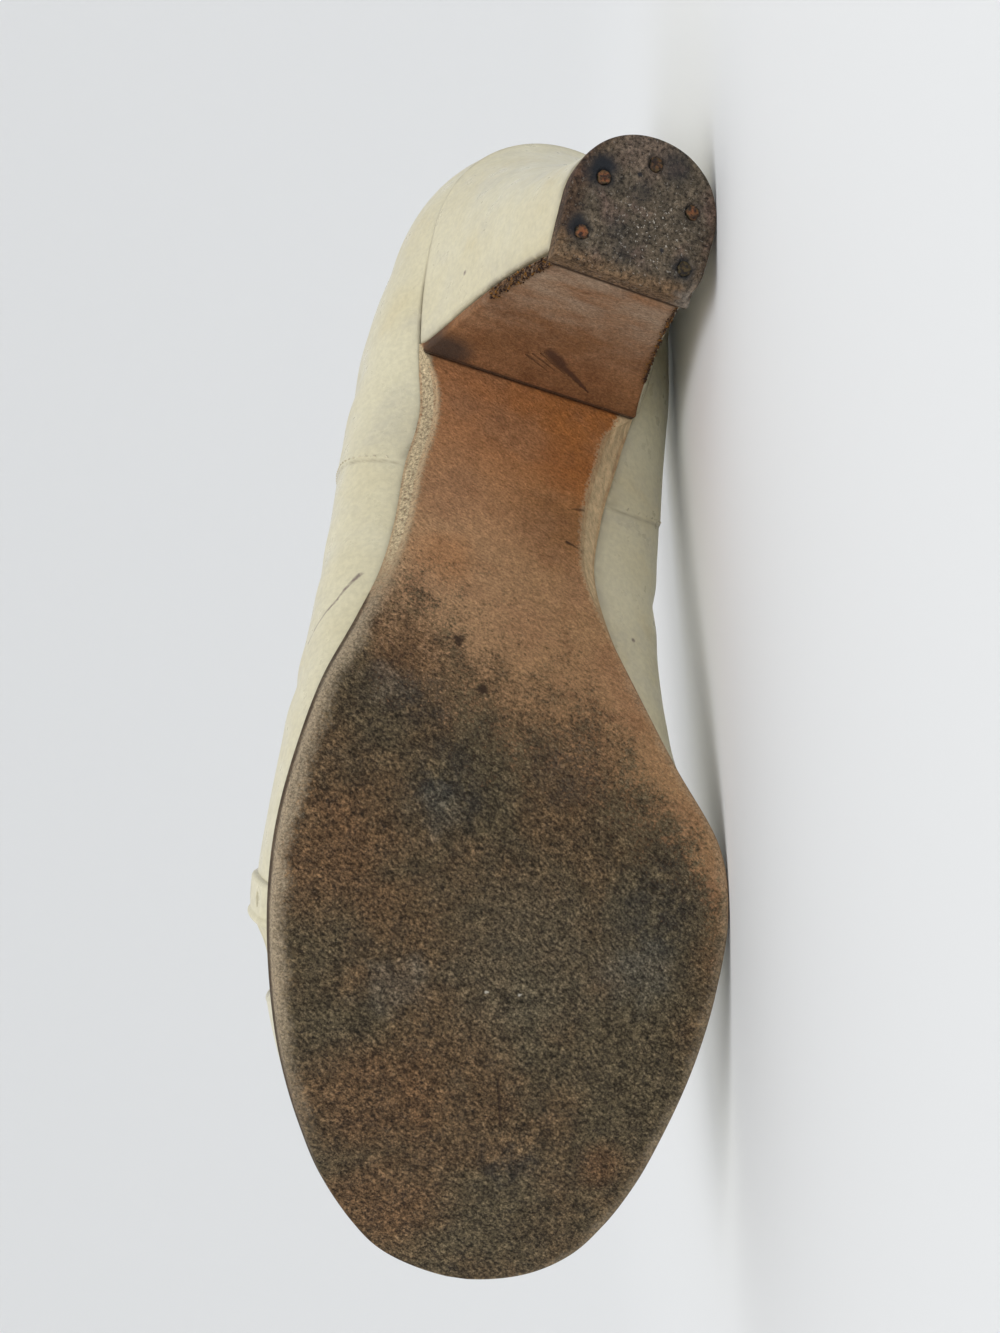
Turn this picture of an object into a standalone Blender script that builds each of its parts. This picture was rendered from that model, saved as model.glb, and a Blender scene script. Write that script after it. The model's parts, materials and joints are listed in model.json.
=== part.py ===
"""Left peep-toe pump with a covered heel, lying on its medial side.

The shoe is designed standing: x is towards the medial side, y towards the toe, z up, in millimetres,
with the lift under the heel and the ball of the sole on z = 0. The finished pieces hang on one empty
that lays the shoe on its side on the floor.
"""
import math

import bmesh
import bpy
import numpy as np
from mathutils import Matrix, Vector

MM = 0.001
GAP = 0.3
WELD = 0.01
SHARP_ANGLE = 40.0

# Driving dimensions of the bottom
LENGTH = 230.3
BREAST_Y = 58.0
BREAST_Z = 51.4
BALL_Y = 154.0
SPRING_Y = 165.5
TOE_SPRING = 11.5
SEAT_Z = 67.9
HEEL_CENTRE_Y = 33.0
STEEPEST_EDGE = 2.5
ROUND_TOE_Y = 215.0
ARCH_SHARE = 0.55
ARCH_POWER = 1.6

# Outsole
FOREPART_THICKNESS = 4.0
WAIST_THICKNESS = 3.1
FLAP_THICKNESS = 2.0
FOLD_RUN = 4.0
SOLE_TIP = 0.15
BEVEL_LIMIT = 0.3

# Upper
WALL = 1.8
THROAT_Y = 148.0
COUNTER_BULGE = 4.0
COUNTER_RISE = 20.0
PEEP_FEATHER_Y = 224.0
PEEP_CREST_Y = 210.0
BAND_START_Y = 165.3
BAND_END_Y = 172.8
BAND_RAISE = 1.0
BAND_STEP = 0.5
CREST_SQUARENESS = 2.2
COUNTER_SQUARENESS = 1.95

# Side cut-outs, one behind the toe band on each side
WINDOW_Y = 180.4
WINDOW_HALF = 6.9
WINDOW_SILL = 3.2
WINDOW_HEIGHT = 19.0
WINDOW_REACH = 14.0
WINDOW_FRONT_ROUNDNESS = 0.8
WINDOW_BACK_ROUNDNESS = 0.45

# Insole
INSOLE_THICKNESS = 2.2
INSOLE_TOE_SETBACK = 2.6
INSOLE_HEEL_END = 0.1

# Heel and its lift
LIFT_THICKNESS = 5.5
LIFT_ROUNDING = 0.6
LIFT_SWELL = 0.2
LIFT_WEAR = 0.3
LIFT_FRONT_Y = 46.6
LIFT_CENTRE_X = -0.2
LIFT_BACK_Y = 21.2
LIFT_HALF_WIDTH = 13.8
HEEL_FRONT_HALF = 25.4
FRONT_NARROWING = 0.975
BREAST_BOW = 2.6
FLAP_MARGIN = 1.0
HEEL_FLAT_SHARE = 0.48
HEEL_ROUNDNESS = 0.96
HEEL_TAPER = 0.85
BACK_CURVE = 0.8

# Nails in the lift
NAIL_RADIUS = 1.3
NAIL_LENGTH = 4.0
NAIL_RECESS = 0.2
HOLE_START = -1.0
NAIL_PLACES = ((-8.6, 30.9), (-0.1, 25.6), (8.6, 31.4), (-10.0, 41.3), (9.8, 41.4))

# Place of the shoe's weight, standing: it picks the side on which the shoe comes to rest
BALANCE = (4.0, 94.0, 34.0)
SIDE_FACING = 0.6


class Table:
    """Sizes in rows along the shoe, read between the rows by a smooth cubic."""

    def __init__(self, columns, rows):
        values = np.array(rows, dtype=float)
        self.station = values[:, 0]
        self.column = {name: values[:, i] for i, name in enumerate(columns)}

    def at(self, name, y):
        station = self.station
        value = self.column[name]
        slope = np.gradient(value, station)
        i = int(np.clip(np.searchsorted(station, y) - 1, 0, len(station) - 2))
        step = station[i + 1] - station[i]
        s = min(max((y - station[i]) / step, 0.0), 1.0)
        near = value[i] * (1 + 2 * s) * (1 - s) ** 2 + slope[i] * step * s * (1 - s) ** 2
        far = value[i + 1] * s * s * (3 - 2 * s) - slope[i + 1] * step * s * s * (1 - s)
        return near + far


# Outline of the bottom: centre line, half width, how far the upper is tucked in, bevel on each edge
BOTTOM = Table(
    ("y", "centre", "half", "tuck", "bevel_lateral", "bevel_medial"),
    (
        (33.0, 0.0, 27.9, 0.5, 0.7, 0.7),
        (46.0, -0.2, 27.1, 0.5, 0.7, 0.7),
        (58.0, -0.6, 24.9, 0.7, 0.9, 0.9),
        (63.0, -0.6, 23.6, 0.9, 2.8, 4.8),
        (70.0, -0.6, 22.2, 1.0, 3.0, 5.2),
        (84.0, -2.6, 21.4, 1.0, 2.8, 4.6),
        (96.0, -3.1, 21.2, 1.0, 2.3, 3.0),
        (106.0, -2.0, 23.6, 1.2, 1.6, 1.4),
        (116.0, -0.5, 28.1, 1.6, 0.9, 0.8),
        (128.0, 1.8, 34.4, 2.0, 0.7, 0.7),
        (140.0, 5.9, 40.4, 2.2, 0.7, 0.7),
        (152.0, 7.7, 42.7, 2.2, 0.7, 0.7),
        (166.0, 9.3, 42.5, 2.2, 0.7, 0.7),
        (180.0, 11.1, 40.4, 2.2, 0.7, 0.7),
        (194.0, 13.1, 36.7, 2.2, 0.7, 0.7),
        (206.0, 15.4, 32.1, 2.2, 0.7, 0.7),
        (215.0, 17.1, 27.3, 2.2, 0.7, 0.7),
        (222.0, 18.6, 21.8, 2.2, 0.7, 0.7),
        (227.0, 19.2, 15.0, 2.2, 0.7, 0.7),
        (230.3, 20.0, 0.0, 2.2, 0.7, 0.7),
    ),
)

# Sections of the last: widest line on each side and its rise, start angle of the wall, crest place and height
LAST = Table(
    ("y", "lateral", "medial", "rise", "lean", "crest_x", "crest_z"),
    (
        (33.0, 31.8, 34.4, 18.0, 38.0, 0.8, 150.0),
        (45.0, 33.6, 37.0, 18.0, 34.0, 0.9, 143.0),
        (57.0, 34.2, 38.1, 18.0, 26.0, 1.0, 134.0),
        (80.0, 34.6, 37.9, 17.0, 10.0, 2.0, 112.0),
        (102.0, 34.4, 37.1, 16.0, 10.0, 3.5, 90.0),
        (122.0, 34.9, 39.6, 15.0, 20.0, 6.0, 70.0),
        (140.0, 35.6, 45.4, 13.5, 35.0, 9.0, 55.5),
        (154.0, 35.2, 49.2, 12.5, 40.0, 11.5, 47.5),
        (170.0, 33.4, 51.0, 11.5, 40.0, 13.5, 40.5),
        (185.0, 28.0, 50.2, 10.5, 40.0, 15.5, 36.0),
        (200.0, 20.4, 48.3, 9.5, 40.0, 17.2, 32.5),
        (212.0, 12.2, 45.2, 8.5, 40.0, 18.6, 29.5),
        (222.0, 3.2, 40.2, 7.0, 40.0, 19.6, 25.0),
        (230.0, -12.0, 30.0, 5.0, 40.0, 20.5, 18.0),
    ),
)

# Height of the collar edge, from the counter to just behind the throat
COLLAR = Table(
    ("y", "z"),
    (
        (0.0, 121.0),
        (33.0, 108.5),
        (60.0, 92.5),
        (90.0, 75.5),
        (120.0, 60.5),
        (THROAT_Y, LAST.at("crest_z", THROAT_Y)),
    ),
)

LATERAL = -1
MEDIAL = 1
LOWER_ROWS = 4
UPPER_ROWS = 8


def sole_z(y):
    """Height of the tread side of the outsole."""
    if y <= BALL_Y:
        s = (BALL_Y - y) / (BALL_Y - BREAST_Y)
        curve = ARCH_SHARE * (3 * s * s - 2 * s ** 3) + (1 - ARCH_SHARE) * s ** ARCH_POWER
        return BREAST_Z * curve
    s = max(y - SPRING_Y, 0.0) / (LENGTH - SPRING_Y)
    return TOE_SPRING * s * s


def sole_thickness(y):
    """Upright thickness of the outsole, thinner under the arch."""
    share = smoothstep((y - BREAST_Y) / (BALL_Y - BREAST_Y))
    return WAIST_THICKNESS + (FOREPART_THICKNESS - WAIST_THICKNESS) * share


def base_z(y):
    """Height of the last's underside: the top of the outsole and the seat of the heel."""
    if y >= BREAST_Y:
        return sole_z(y) + sole_thickness(y)
    start = BREAST_Z + WAIST_THICKNESS
    slope = (1 - ARCH_SHARE) * ARCH_POWER * BREAST_Z / (BALL_Y - BREAST_Y)
    run = BREAST_Y - y
    sag = (start + slope * BREAST_Y - SEAT_Z) / BREAST_Y ** 2
    return start + slope * run - sag * run * run


def bottom_half(y):
    """Half width of the bottom, with a round toe."""
    if y <= ROUND_TOE_Y:
        return BOTTOM.at("half", y)
    squares = Table(("y", "half"), [(r, h * h) for r, h in zip(BOTTOM.station, BOTTOM.column["half"])])
    return math.sqrt(max(squares.at("half", y), 0.0))


def edge_x(y, side, inset=0.0):
    """Edge of the bottom at one station, drawn in by an inset square to the outline."""
    step = 0.5
    behind = BOTTOM.at("centre", y - step) + side * bottom_half(y - step)
    ahead = BOTTOM.at("centre", y + step) + side * bottom_half(y + step)
    slope = min(abs(ahead - behind) / (2 * step), STEEPEST_EDGE)
    half = bottom_half(y) - inset * math.hypot(1.0, slope)
    return BOTTOM.at("centre", y) + side * max(half, 0.0)


def smoothstep(s):
    s = min(max(s, 0.0), 1.0)
    return s * s * (3 - 2 * s)


def band_raise(y):
    """Step in the wall where the trim band crosses the vamp."""
    up = smoothstep((y - BAND_START_Y + BAND_STEP) / BAND_STEP)
    down = smoothstep((y - BAND_END_Y) / BAND_STEP)
    return BAND_RAISE * (up - down)


def section(y, side, top, raised=0.0):
    """One side of a section: distance from the crest line and height over the base, row by row."""
    crest_x = LAST.at("crest_x", y)
    feather = abs(edge_x(y, side, BOTTOM.at("tuck", y)) - crest_x)
    wall_x = side * LAST.at("lateral" if side == LATERAL else "medial", y)
    widest = abs(wall_x - crest_x) + raised
    rise = LAST.at("rise", y)
    lean = math.radians(LAST.at("lean", y))
    crest = LAST.at("crest_z", y) + raised - base_z(y) - GAP
    return profile_rows(feather, widest, rise, lean, crest, top)


def profile_rows(feather, widest, rise, lean, crest, top):
    """Rows from the feather edge, round the widest line, up to the collar or the crest."""
    rows = []
    for i in range(LOWER_ROWS + 1):
        a = lean + (math.pi / 2 - lean) * i / LOWER_ROWS
        out = (math.sin(a) - math.sin(lean)) / (1 - math.sin(lean))
        up = (math.cos(lean) - math.cos(a)) / math.cos(lean)
        rows.append((feather + (widest - feather) * out, rise * up))
    share = min(max((top - rise) / (crest - rise), 0.0), 1.0)
    end = math.asin(share)
    for i in range(1, UPPER_ROWS + 1):
        b = end * i / UPPER_ROWS
        reach = max(math.cos(b), 0.0) ** (2 / CREST_SQUARENESS)
        if share >= 1.0 and i == UPPER_ROWS:
            reach = 0.0
        rows.append((widest * reach, rise + (crest - rise) * math.sin(b)))
    return rows


def open_column(y, side):
    """A column of the wall behind the throat, from the feather edge to the collar."""
    top = COLLAR.at("z", y) - base_z(y) - GAP
    x0 = LAST.at("crest_x", y)
    return [(x0 + side * r, y, base_z(y) + GAP + h) for r, h in section(y, side, top)]


def counter_column(angle):
    """A column round the back of the heel, from the lateral side (0) to the medial side (pi)."""
    side = LATERAL if angle < math.pi / 2 else MEDIAL
    side_top = COLLAR.at("z", HEEL_CENTRE_Y) - base_z(HEEL_CENTRE_Y) - GAP
    back_top = COLLAR.at("z", 0.0) - base_z(0.0) - GAP
    flank = section(HEEL_CENTRE_Y, side, side_top)
    depth = HEEL_CENTRE_Y - BOTTOM.at("tuck", HEEL_CENTRE_Y)
    lean = math.radians(LAST.at("lean", HEEL_CENTRE_Y))
    crest = LAST.at("crest_z", HEEL_CENTRE_Y) - base_z(0.0) - GAP
    back = profile_rows(depth, HEEL_CENTRE_Y + COUNTER_BULGE, COUNTER_RISE, lean, crest, back_top)
    power = 2 / COUNTER_SQUARENESS
    across = abs(math.cos(angle)) ** power
    behind = abs(math.sin(angle)) ** power
    share = math.sin(angle) ** 2
    base = base_z(HEEL_CENTRE_Y - depth * behind) + GAP
    x0 = LAST.at("crest_x", HEEL_CENTRE_Y)
    column = []
    for (flank_r, flank_h), (back_r, back_h) in zip(flank, back):
        height = flank_h + (back_h - flank_h) * share
        column.append((x0 + side * flank_r * across, HEEL_CENTRE_Y - back_r * behind, base + height))
    return column


def closed_column(feather_y, side):
    """A column of the vamp and toe, from the feather edge to the crest; it leans back near the peep toe."""
    ahead = max(feather_y - BAND_END_Y - BAND_STEP, 0.0) / (PEEP_FEATHER_Y - BAND_END_Y - BAND_STEP)
    pull = ahead * (PEEP_FEATHER_Y - PEEP_CREST_Y)
    raised = band_raise(feather_y)
    column = []
    count = LOWER_ROWS + UPPER_ROWS
    for row in range(count + 1):
        y = feather_y - pull * smoothstep(row / count)
        r, h = section(y, side, math.inf, raised)[row]
        column.append((LAST.at("crest_x", y) + side * r, y, base_z(y) + GAP + h))
    return column


def vamp_stations():
    """Stations of the vamp and toe, with the band's two steps drawn sharply."""
    behind = np.linspace(THROAT_Y, BAND_START_Y - BAND_STEP, 6)
    band = np.linspace(BAND_START_Y, BAND_END_Y, 4)
    ahead = np.linspace(BAND_END_Y + BAND_STEP, PEEP_FEATHER_Y, 15)
    return [float(y) for y in np.concatenate((behind, band, ahead))]


def quarter_stations():
    """Stations from the throat to the heel, close together where the throat turns."""
    count = 14
    span = THROAT_Y - HEEL_CENTRE_Y
    return [THROAT_Y - span * (i / count) ** 2 for i in range(1, count + 1)]


def upper_columns():
    """All columns of the wall, from the lateral peep toe round the heel to the medial peep toe."""
    turns = 18
    columns = [closed_column(y, LATERAL) for y in reversed(vamp_stations())]
    columns += [open_column(y, LATERAL) for y in quarter_stations()]
    columns += [counter_column(math.pi * i / turns) for i in range(1, turns)]
    columns += [open_column(y, MEDIAL) for y in reversed(quarter_stations())]
    columns += [closed_column(y, MEDIAL) for y in vamp_stations()]
    return columns


def collection(name):
    found = bpy.data.collections.new(name)
    bpy.context.scene.collection.children.link(found)
    return found


def material(name, colour, roughness, metallic=0.0):
    made = bpy.data.materials.new(name)
    made.use_nodes = True
    shader = made.node_tree.nodes["Principled BSDF"]
    shader.inputs["Base Color"].default_value = (*colour, 1.0)
    shader.inputs["Roughness"].default_value = roughness
    shader.inputs["Metallic"].default_value = metallic
    return made


def grid_faces(columns, rows):
    """Quads between neighbouring columns of a grid of points."""
    faces = []
    for i in range(columns - 1):
        near = i * rows
        far = near + rows
        for j in range(rows - 1):
            faces.append((near + j, near + j + 1, far + j + 1, far + j))
    return faces


def mesh_object(name, points, faces, finish, group):
    """An object from points in millimetres, with doubles welded and its faces turned outwards."""
    mesh = bpy.data.meshes.new(name)
    mesh.from_pydata([Vector(p) * MM for p in points], [], faces)
    bm = bmesh.new()
    bm.from_mesh(mesh)
    bmesh.ops.remove_doubles(bm, verts=bm.verts, dist=WELD * MM)
    bmesh.ops.dissolve_degenerate(bm, dist=WELD * MM, edges=bm.edges)
    bmesh.ops.recalc_face_normals(bm, faces=bm.faces)
    bm.to_mesh(mesh)
    bm.free()
    mesh.shade_smooth()
    mesh.set_sharp_from_angle(angle=math.radians(SHARP_ANGLE))
    thing = bpy.data.objects.new(name, mesh)
    mesh.materials.append(finish)
    group.objects.link(thing)
    return thing


def cutter(thing):
    thing.hide_render = True
    thing.display_type = "WIRE"
    return thing


def cut(thing, tool):
    change = thing.modifiers.new("cut_" + tool.name, "BOOLEAN")
    change.operation = "DIFFERENCE"
    change.solver = "EXACT"
    change.object = tool


def window_cutter(side, group):
    """A leaf-shaped prism through the wall on one side, standing just over the sole."""
    count = 20
    sill = base_z(WINDOW_Y) + GAP + WINDOW_SILL
    reach_in = edge_x(WINDOW_Y, side, WINDOW_REACH)
    reach_out = edge_x(WINDOW_Y, side, -WINDOW_REACH)
    outline = []
    for i in range(count):
        a = 2 * math.pi * i / count
        up = 0.5 - 0.5 * math.cos(a)
        roundness = WINDOW_FRONT_ROUNDNESS if math.sin(a) > 0 else WINDOW_BACK_ROUNDNESS
        across = math.copysign(abs(math.sin(a)) ** roundness, math.sin(a)) * WINDOW_HALF
        outline.append((WINDOW_Y + across, sill + WINDOW_HEIGHT * up))
    points = [(reach_in, y, z) for y, z in outline] + [(reach_out, y, z) for y, z in outline]
    faces = [tuple(range(count)), tuple(range(2 * count - 1, count - 1, -1))]
    faces += [(i, (i + 1) % count, count + (i + 1) % count, count + i) for i in range(count)]
    name = "window_lateral" if side == LATERAL else "window_medial"
    return cutter(mesh_object(name, points, faces, FINISH["cream"], group))


def make_upper(group, cutters):
    columns = upper_columns()
    points = [p for column in columns for p in column]
    faces = grid_faces(len(columns), len(columns[0]))
    upper = mesh_object("upper", points, faces, FINISH["cream"], group)
    wall = upper.modifiers.new("wall", "SOLIDIFY")
    wall.thickness = WALL * MM
    wall.offset = -1.0
    wall.use_even_offset = True
    for side in (LATERAL, MEDIAL):
        cut(upper, window_cutter(side, cutters))
    return upper


def ringed(name, rings, finish, group):
    """A solid through closed rings of points, capped at both ends."""
    size = len(rings[0])
    points = [p for ring in rings for p in ring]
    faces = []
    for i in range(len(rings) - 1):
        for j in range(size):
            k = (j + 1) % size
            faces.append((i * size + j, i * size + k, (i + 1) * size + k, (i + 1) * size + j))
    faces.append(tuple(reversed(range(size))))
    faces.append(tuple(range(len(points) - size, len(points))))
    return mesh_object(name, points, faces, finish, group)


def toe_stations(start, end, count):
    """Stations that crowd together where the toe closes."""
    return [start + (end - start) * math.sin(math.pi / 2 * i / count) for i in range(count + 1)]


def spread(left, right, count):
    """Evenly spaced places from one edge to the other."""
    return [left + (right - left) * i / count for i in range(count + 1)]


def breast_line(s):
    """The front of the heel breast, from the fold (0) to the lift (1)."""
    y = BREAST_Y + (LIFT_FRONT_Y - BREAST_Y) * s - BREAST_BOW * math.sin(math.pi * s)
    z = BREAST_Z + (LIFT_THICKNESS + GAP - BREAST_Z) * s
    return y, z


def breast_normal(s):
    """Unit direction from the breast into the heel."""
    step = 0.01
    y0, z0 = breast_line(s - step)
    y1, z1 = breast_line(s + step)
    run = math.hypot(y1 - y0, z1 - z0)
    return (z1 - z0) / run, -(y1 - y0) / run


def heel_half(s, front):
    """Half width of the heel between the seat (0) and the lift (1), at its breast or at its widest."""
    seat = HEEL_FRONT_HALF if front else bottom_half(HEEL_CENTRE_Y)
    foot = LIFT_HALF_WIDTH * (FRONT_NARROWING if front else 1.0)
    return seat + (foot - seat) * s ** HEEL_TAPER


def make_outsole(group):
    """One leather piece: the tread from the toe to the fold, and the flap down the heel breast."""
    count = 8
    rings = []
    flap_steps = 6
    for i in range(flap_steps):
        s = 1 - i / flap_steps
        y, z = breast_line(s)
        ny, nz = breast_normal(s)
        half = heel_half(s, True) - FLAP_MARGIN
        centre = BOTTOM.at("centre", BREAST_Y) * (1 - s) + LIFT_CENTRE_X * s
        front = spread(centre - half, centre + half, count)
        ring = [(x, y, z) for x in front]
        ring += [(x, y + ny * FLAP_THICKNESS, z + nz * FLAP_THICKNESS) for x in reversed(front)]
        rings.append(ring)
    for y in [BREAST_Y] + sole_stations():
        left = edge_x(y, LATERAL)
        right = edge_x(y, MEDIAL)
        top_y = y - FLAP_THICKNESS if y == BREAST_Y else y
        widest_bevel = BEVEL_LIMIT * (right - left)
        low_left = left + min(BOTTOM.at("bevel_lateral", y), widest_bevel)
        low_right = right - min(BOTTOM.at("bevel_medial", y), widest_bevel)
        ring = [(x, y, sole_z(y)) for x in spread(low_left, low_right, count)]
        ring += [(x, top_y, base_z(top_y)) for x in reversed(spread(left, right, count))]
        rings.append(ring)
    return ringed("outsole", rings, FINISH["sole"], group)


def sole_stations():
    waist = np.linspace(BREAST_Y + FOLD_RUN, BALL_Y, 17)
    toe = toe_stations(BALL_Y, LENGTH - SOLE_TIP, 18)[1:]
    return [float(y) for y in waist] + toe


def make_insole(group):
    """The insole fills the open bottom of the upper, from the heel seat to the toe."""
    steps = 6
    rings = []
    depth = HEEL_CENTRE_Y - BOTTOM.at("tuck", HEEL_CENTRE_Y) - WALL - GAP
    turns = 9
    heel = [HEEL_CENTRE_Y - depth * math.cos(math.pi / 2 * i / turns) for i in range(turns)]
    stations = [heel[0] + INSOLE_HEEL_END] + heel[1:]
    stations += [float(y) for y in np.linspace(HEEL_CENTRE_Y, BALL_Y, 16)]
    stations += toe_stations(BALL_Y, LENGTH - INSOLE_TOE_SETBACK, 14)[1:]
    for y in stations:
        inset = BOTTOM.at("tuck", y) + WALL + GAP
        if y < HEEL_CENTRE_Y:
            share = (HEEL_CENTRE_Y - y) / depth
            round_off = (1 - share ** COUNTER_SQUARENESS) ** (1 / COUNTER_SQUARENESS)
            half = (bottom_half(HEEL_CENTRE_Y) - inset) * round_off
            left = -half
            right = half
        else:
            left = edge_x(y, LATERAL, inset)
            right = edge_x(y, MEDIAL, inset)
        low = base_z(y) + GAP
        ring = [(x, y, low) for x in spread(left, right, steps)]
        ring += [(x, y, low + INSOLE_THICKNESS) for x in reversed(spread(left, right, steps))]
        rings.append(ring)
    return ringed("insole", rings, FINISH["insole"], group)


def heel_ring(centre, front_y, back_y, half, front_half, height):
    """A D-shaped ring: a straight front and a round back."""
    back = 24
    ring = []
    middle_y = front_y - (front_y - back_y) * HEEL_FLAT_SHARE
    for i in range(back + 1):
        a = math.pi * i / back
        x = -half * math.copysign(abs(math.cos(a)) ** HEEL_ROUNDNESS, math.cos(a))
        y = middle_y - (middle_y - back_y) * math.sin(a) ** HEEL_ROUNDNESS
        ring.append((x, y))
    sides = 3
    for i in range(1, sides + 1):
        t = i / sides
        ring.append((half + (front_half - half) * t * t, middle_y + (front_y - middle_y) * t))
    cells = 5
    for i in range(1, cells):
        ring.append((front_half - 2 * front_half * i / cells, front_y))
    for i in range(sides, 0, -1):
        t = i / sides
        ring.append((-half - (front_half - half) * t * t, middle_y + (front_y - middle_y) * t))
    return [(centre + x, y, height(y)) for x, y in ring]


def heel_front(s):
    """Front face of the heel block, just behind the flap."""
    y, _ = breast_line(s)
    inward, _ = breast_normal(s)
    return y + inward * (FLAP_THICKNESS + GAP)


def make_heel(group):
    levels = 11
    foot_z = LIFT_THICKNESS + GAP
    rings = []
    for i in range(levels + 1):
        s = i / levels
        back_y = LIFT_BACK_Y * math.sin(math.pi / 2 * s) ** BACK_CURVE
        half = heel_half(s, False)
        front_half = heel_half(s, True)

        def height(y, s=s):
            return base_z(y) + (foot_z - base_z(y)) * s

        rings.append(heel_ring(LIFT_CENTRE_X * s, heel_front(s), back_y, half, front_half, height))
    return ringed("heel", rings, FINISH["cream"], group)


def make_lift(group, cutters):
    """The worn lift: a D-shaped slab with a blind hole for each nail."""
    rings = []
    for z, grow in ((LIFT_THICKNESS, 0.0), (LIFT_ROUNDING, LIFT_SWELL), (0.0, -LIFT_WEAR)):
        half = LIFT_HALF_WIDTH + grow
        front_half = LIFT_HALF_WIDTH * FRONT_NARROWING + grow
        front_y = LIFT_FRONT_Y + grow
        back_y = LIFT_BACK_Y - grow
        rings.append(heel_ring(LIFT_CENTRE_X, front_y, back_y, half, front_half, lambda y, z=z: z))
    lift = ringed("top_lift", rings, FINISH["lift"], group)
    for i, (x, y) in enumerate(NAIL_PLACES, 1):
        size = (NAIL_RADIUS + GAP, HOLE_START, NAIL_LENGTH + GAP)
        hole = round_pin("nail_hole_%d" % i, (x, y), size, FINISH["nail"], cutters)
        cut(lift, cutter(hole))
    return lift


def round_pin(name, place, size, finish, group):
    """An upright pin at a place on the lift, with its radius, bottom and top."""
    sides = 14
    radius, bottom, top = size
    bm = bmesh.new()
    place = Matrix.Translation(Vector((*place, (bottom + top) / 2)) * MM)
    bmesh.ops.create_cone(bm, cap_ends=True, segments=sides, radius1=radius * MM, radius2=radius * MM,
                          depth=(top - bottom) * MM, matrix=place)
    mesh = bpy.data.meshes.new(name)
    bm.to_mesh(mesh)
    bm.free()
    mesh.materials.append(finish)
    pin = bpy.data.objects.new(name, mesh)
    group.objects.link(pin)
    return pin


def resting_face(parts):
    """The face of the shoe's hull, on its medial side, that carries its weight."""
    graph = bpy.context.evaluated_depsgraph_get()
    bm = bmesh.new()
    for part in parts:
        for vertex in part.evaluated_get(graph).data.vertices:
            bm.verts.new(vertex.co)
    bmesh.ops.convex_hull(bm, input=bm.verts)
    bm.normal_update()
    weight = Vector(BALANCE) * MM
    best = None
    for face in bm.faces:
        if face.normal.x < SIDE_FACING:
            continue
        distance = (face.verts[0].co - weight).dot(face.normal)
        foot = weight + face.normal * distance
        inside = min((edge_in(face, i, foot) for i in range(len(face.verts))))
        if best is None or inside > best[0]:
            best = (inside, face.normal.copy())
    bm.free()
    return best[1]


def edge_in(face, i, point):
    """How far a point on the face's plane lies inside one of its edges."""
    a = face.verts[i].co
    b = face.verts[(i + 1) % len(face.verts)].co
    inward = face.normal.cross(b - a).normalized()
    return (point - a).dot(inward)


def lay_down(parts, cutters):
    """Lay the shoe on its medial side: toe along -X, sole towards -Y, and its box centred on the origin."""
    down = resting_face(parts)
    toe = Vector((0.0, 1.0, 0.0))
    toe = (toe - down * toe.dot(down)).normalized()
    up = -down
    side = up.cross(-toe)
    turn = Matrix((-toe, side, up)).to_4x4()
    graph = bpy.context.evaluated_depsgraph_get()
    points = [turn @ v.co for part in parts for v in part.evaluated_get(graph).data.vertices]
    low = Vector([min(p[i] for p in points) for i in range(3)])
    high = Vector([max(p[i] for p in points) for i in range(3)])
    middle = (low + high) / 2
    shoe = bpy.data.objects.new("lying_shoe", None)
    shoe.matrix_world = Matrix.Translation((-middle.x, -middle.y, -low.z)) @ turn
    bpy.context.scene.collection.objects.link(shoe)
    for thing in parts + cutters:
        thing.parent = shoe


for leftover in list(bpy.data.objects):
    bpy.data.objects.remove(leftover, do_unlink=True)

FINISH = {
    "cream": material("cream_leather", (0.80, 0.74, 0.58), 0.42),
    "sole": material("sole_leather", (0.16, 0.10, 0.06), 0.7),
    "insole": material("insole_leather", (0.55, 0.42, 0.27), 0.6),
    "lift": material("lift_rubber", (0.06, 0.05, 0.045), 0.8),
    "nail": material("rusty_steel", (0.22, 0.11, 0.05), 0.6, 0.6),
}

shoe_group = collection("peep_toe_pump")
cutter_group = collection("cutters")
pieces = [
    make_upper(shoe_group, cutter_group),
    make_insole(shoe_group),
    make_outsole(shoe_group),
    make_heel(shoe_group),
    make_lift(shoe_group, cutter_group),
]
for number, nail_place in enumerate(NAIL_PLACES, 1):
    nail_size = (NAIL_RADIUS, NAIL_RECESS, NAIL_LENGTH)
    pieces.append(round_pin("top_lift_nail_%d" % number, nail_place, nail_size, FINISH["nail"], shoe_group))
bpy.context.view_layer.update()
lay_down(pieces, list(cutter_group.objects))
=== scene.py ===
"""Looks of the left peep-toe pump: leather, lining, seams, wear, floor, light and camera.

Shapes and marks are given in millimetres of the standing shoe: x is towards the medial side, y towards
the toe, z up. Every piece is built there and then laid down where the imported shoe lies.
"""
import json
import math

import bmesh
import bpy
import numpy as np
from mathutils import Matrix, Vector, noise
from mathutils.bvhtree import BVHTree


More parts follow.
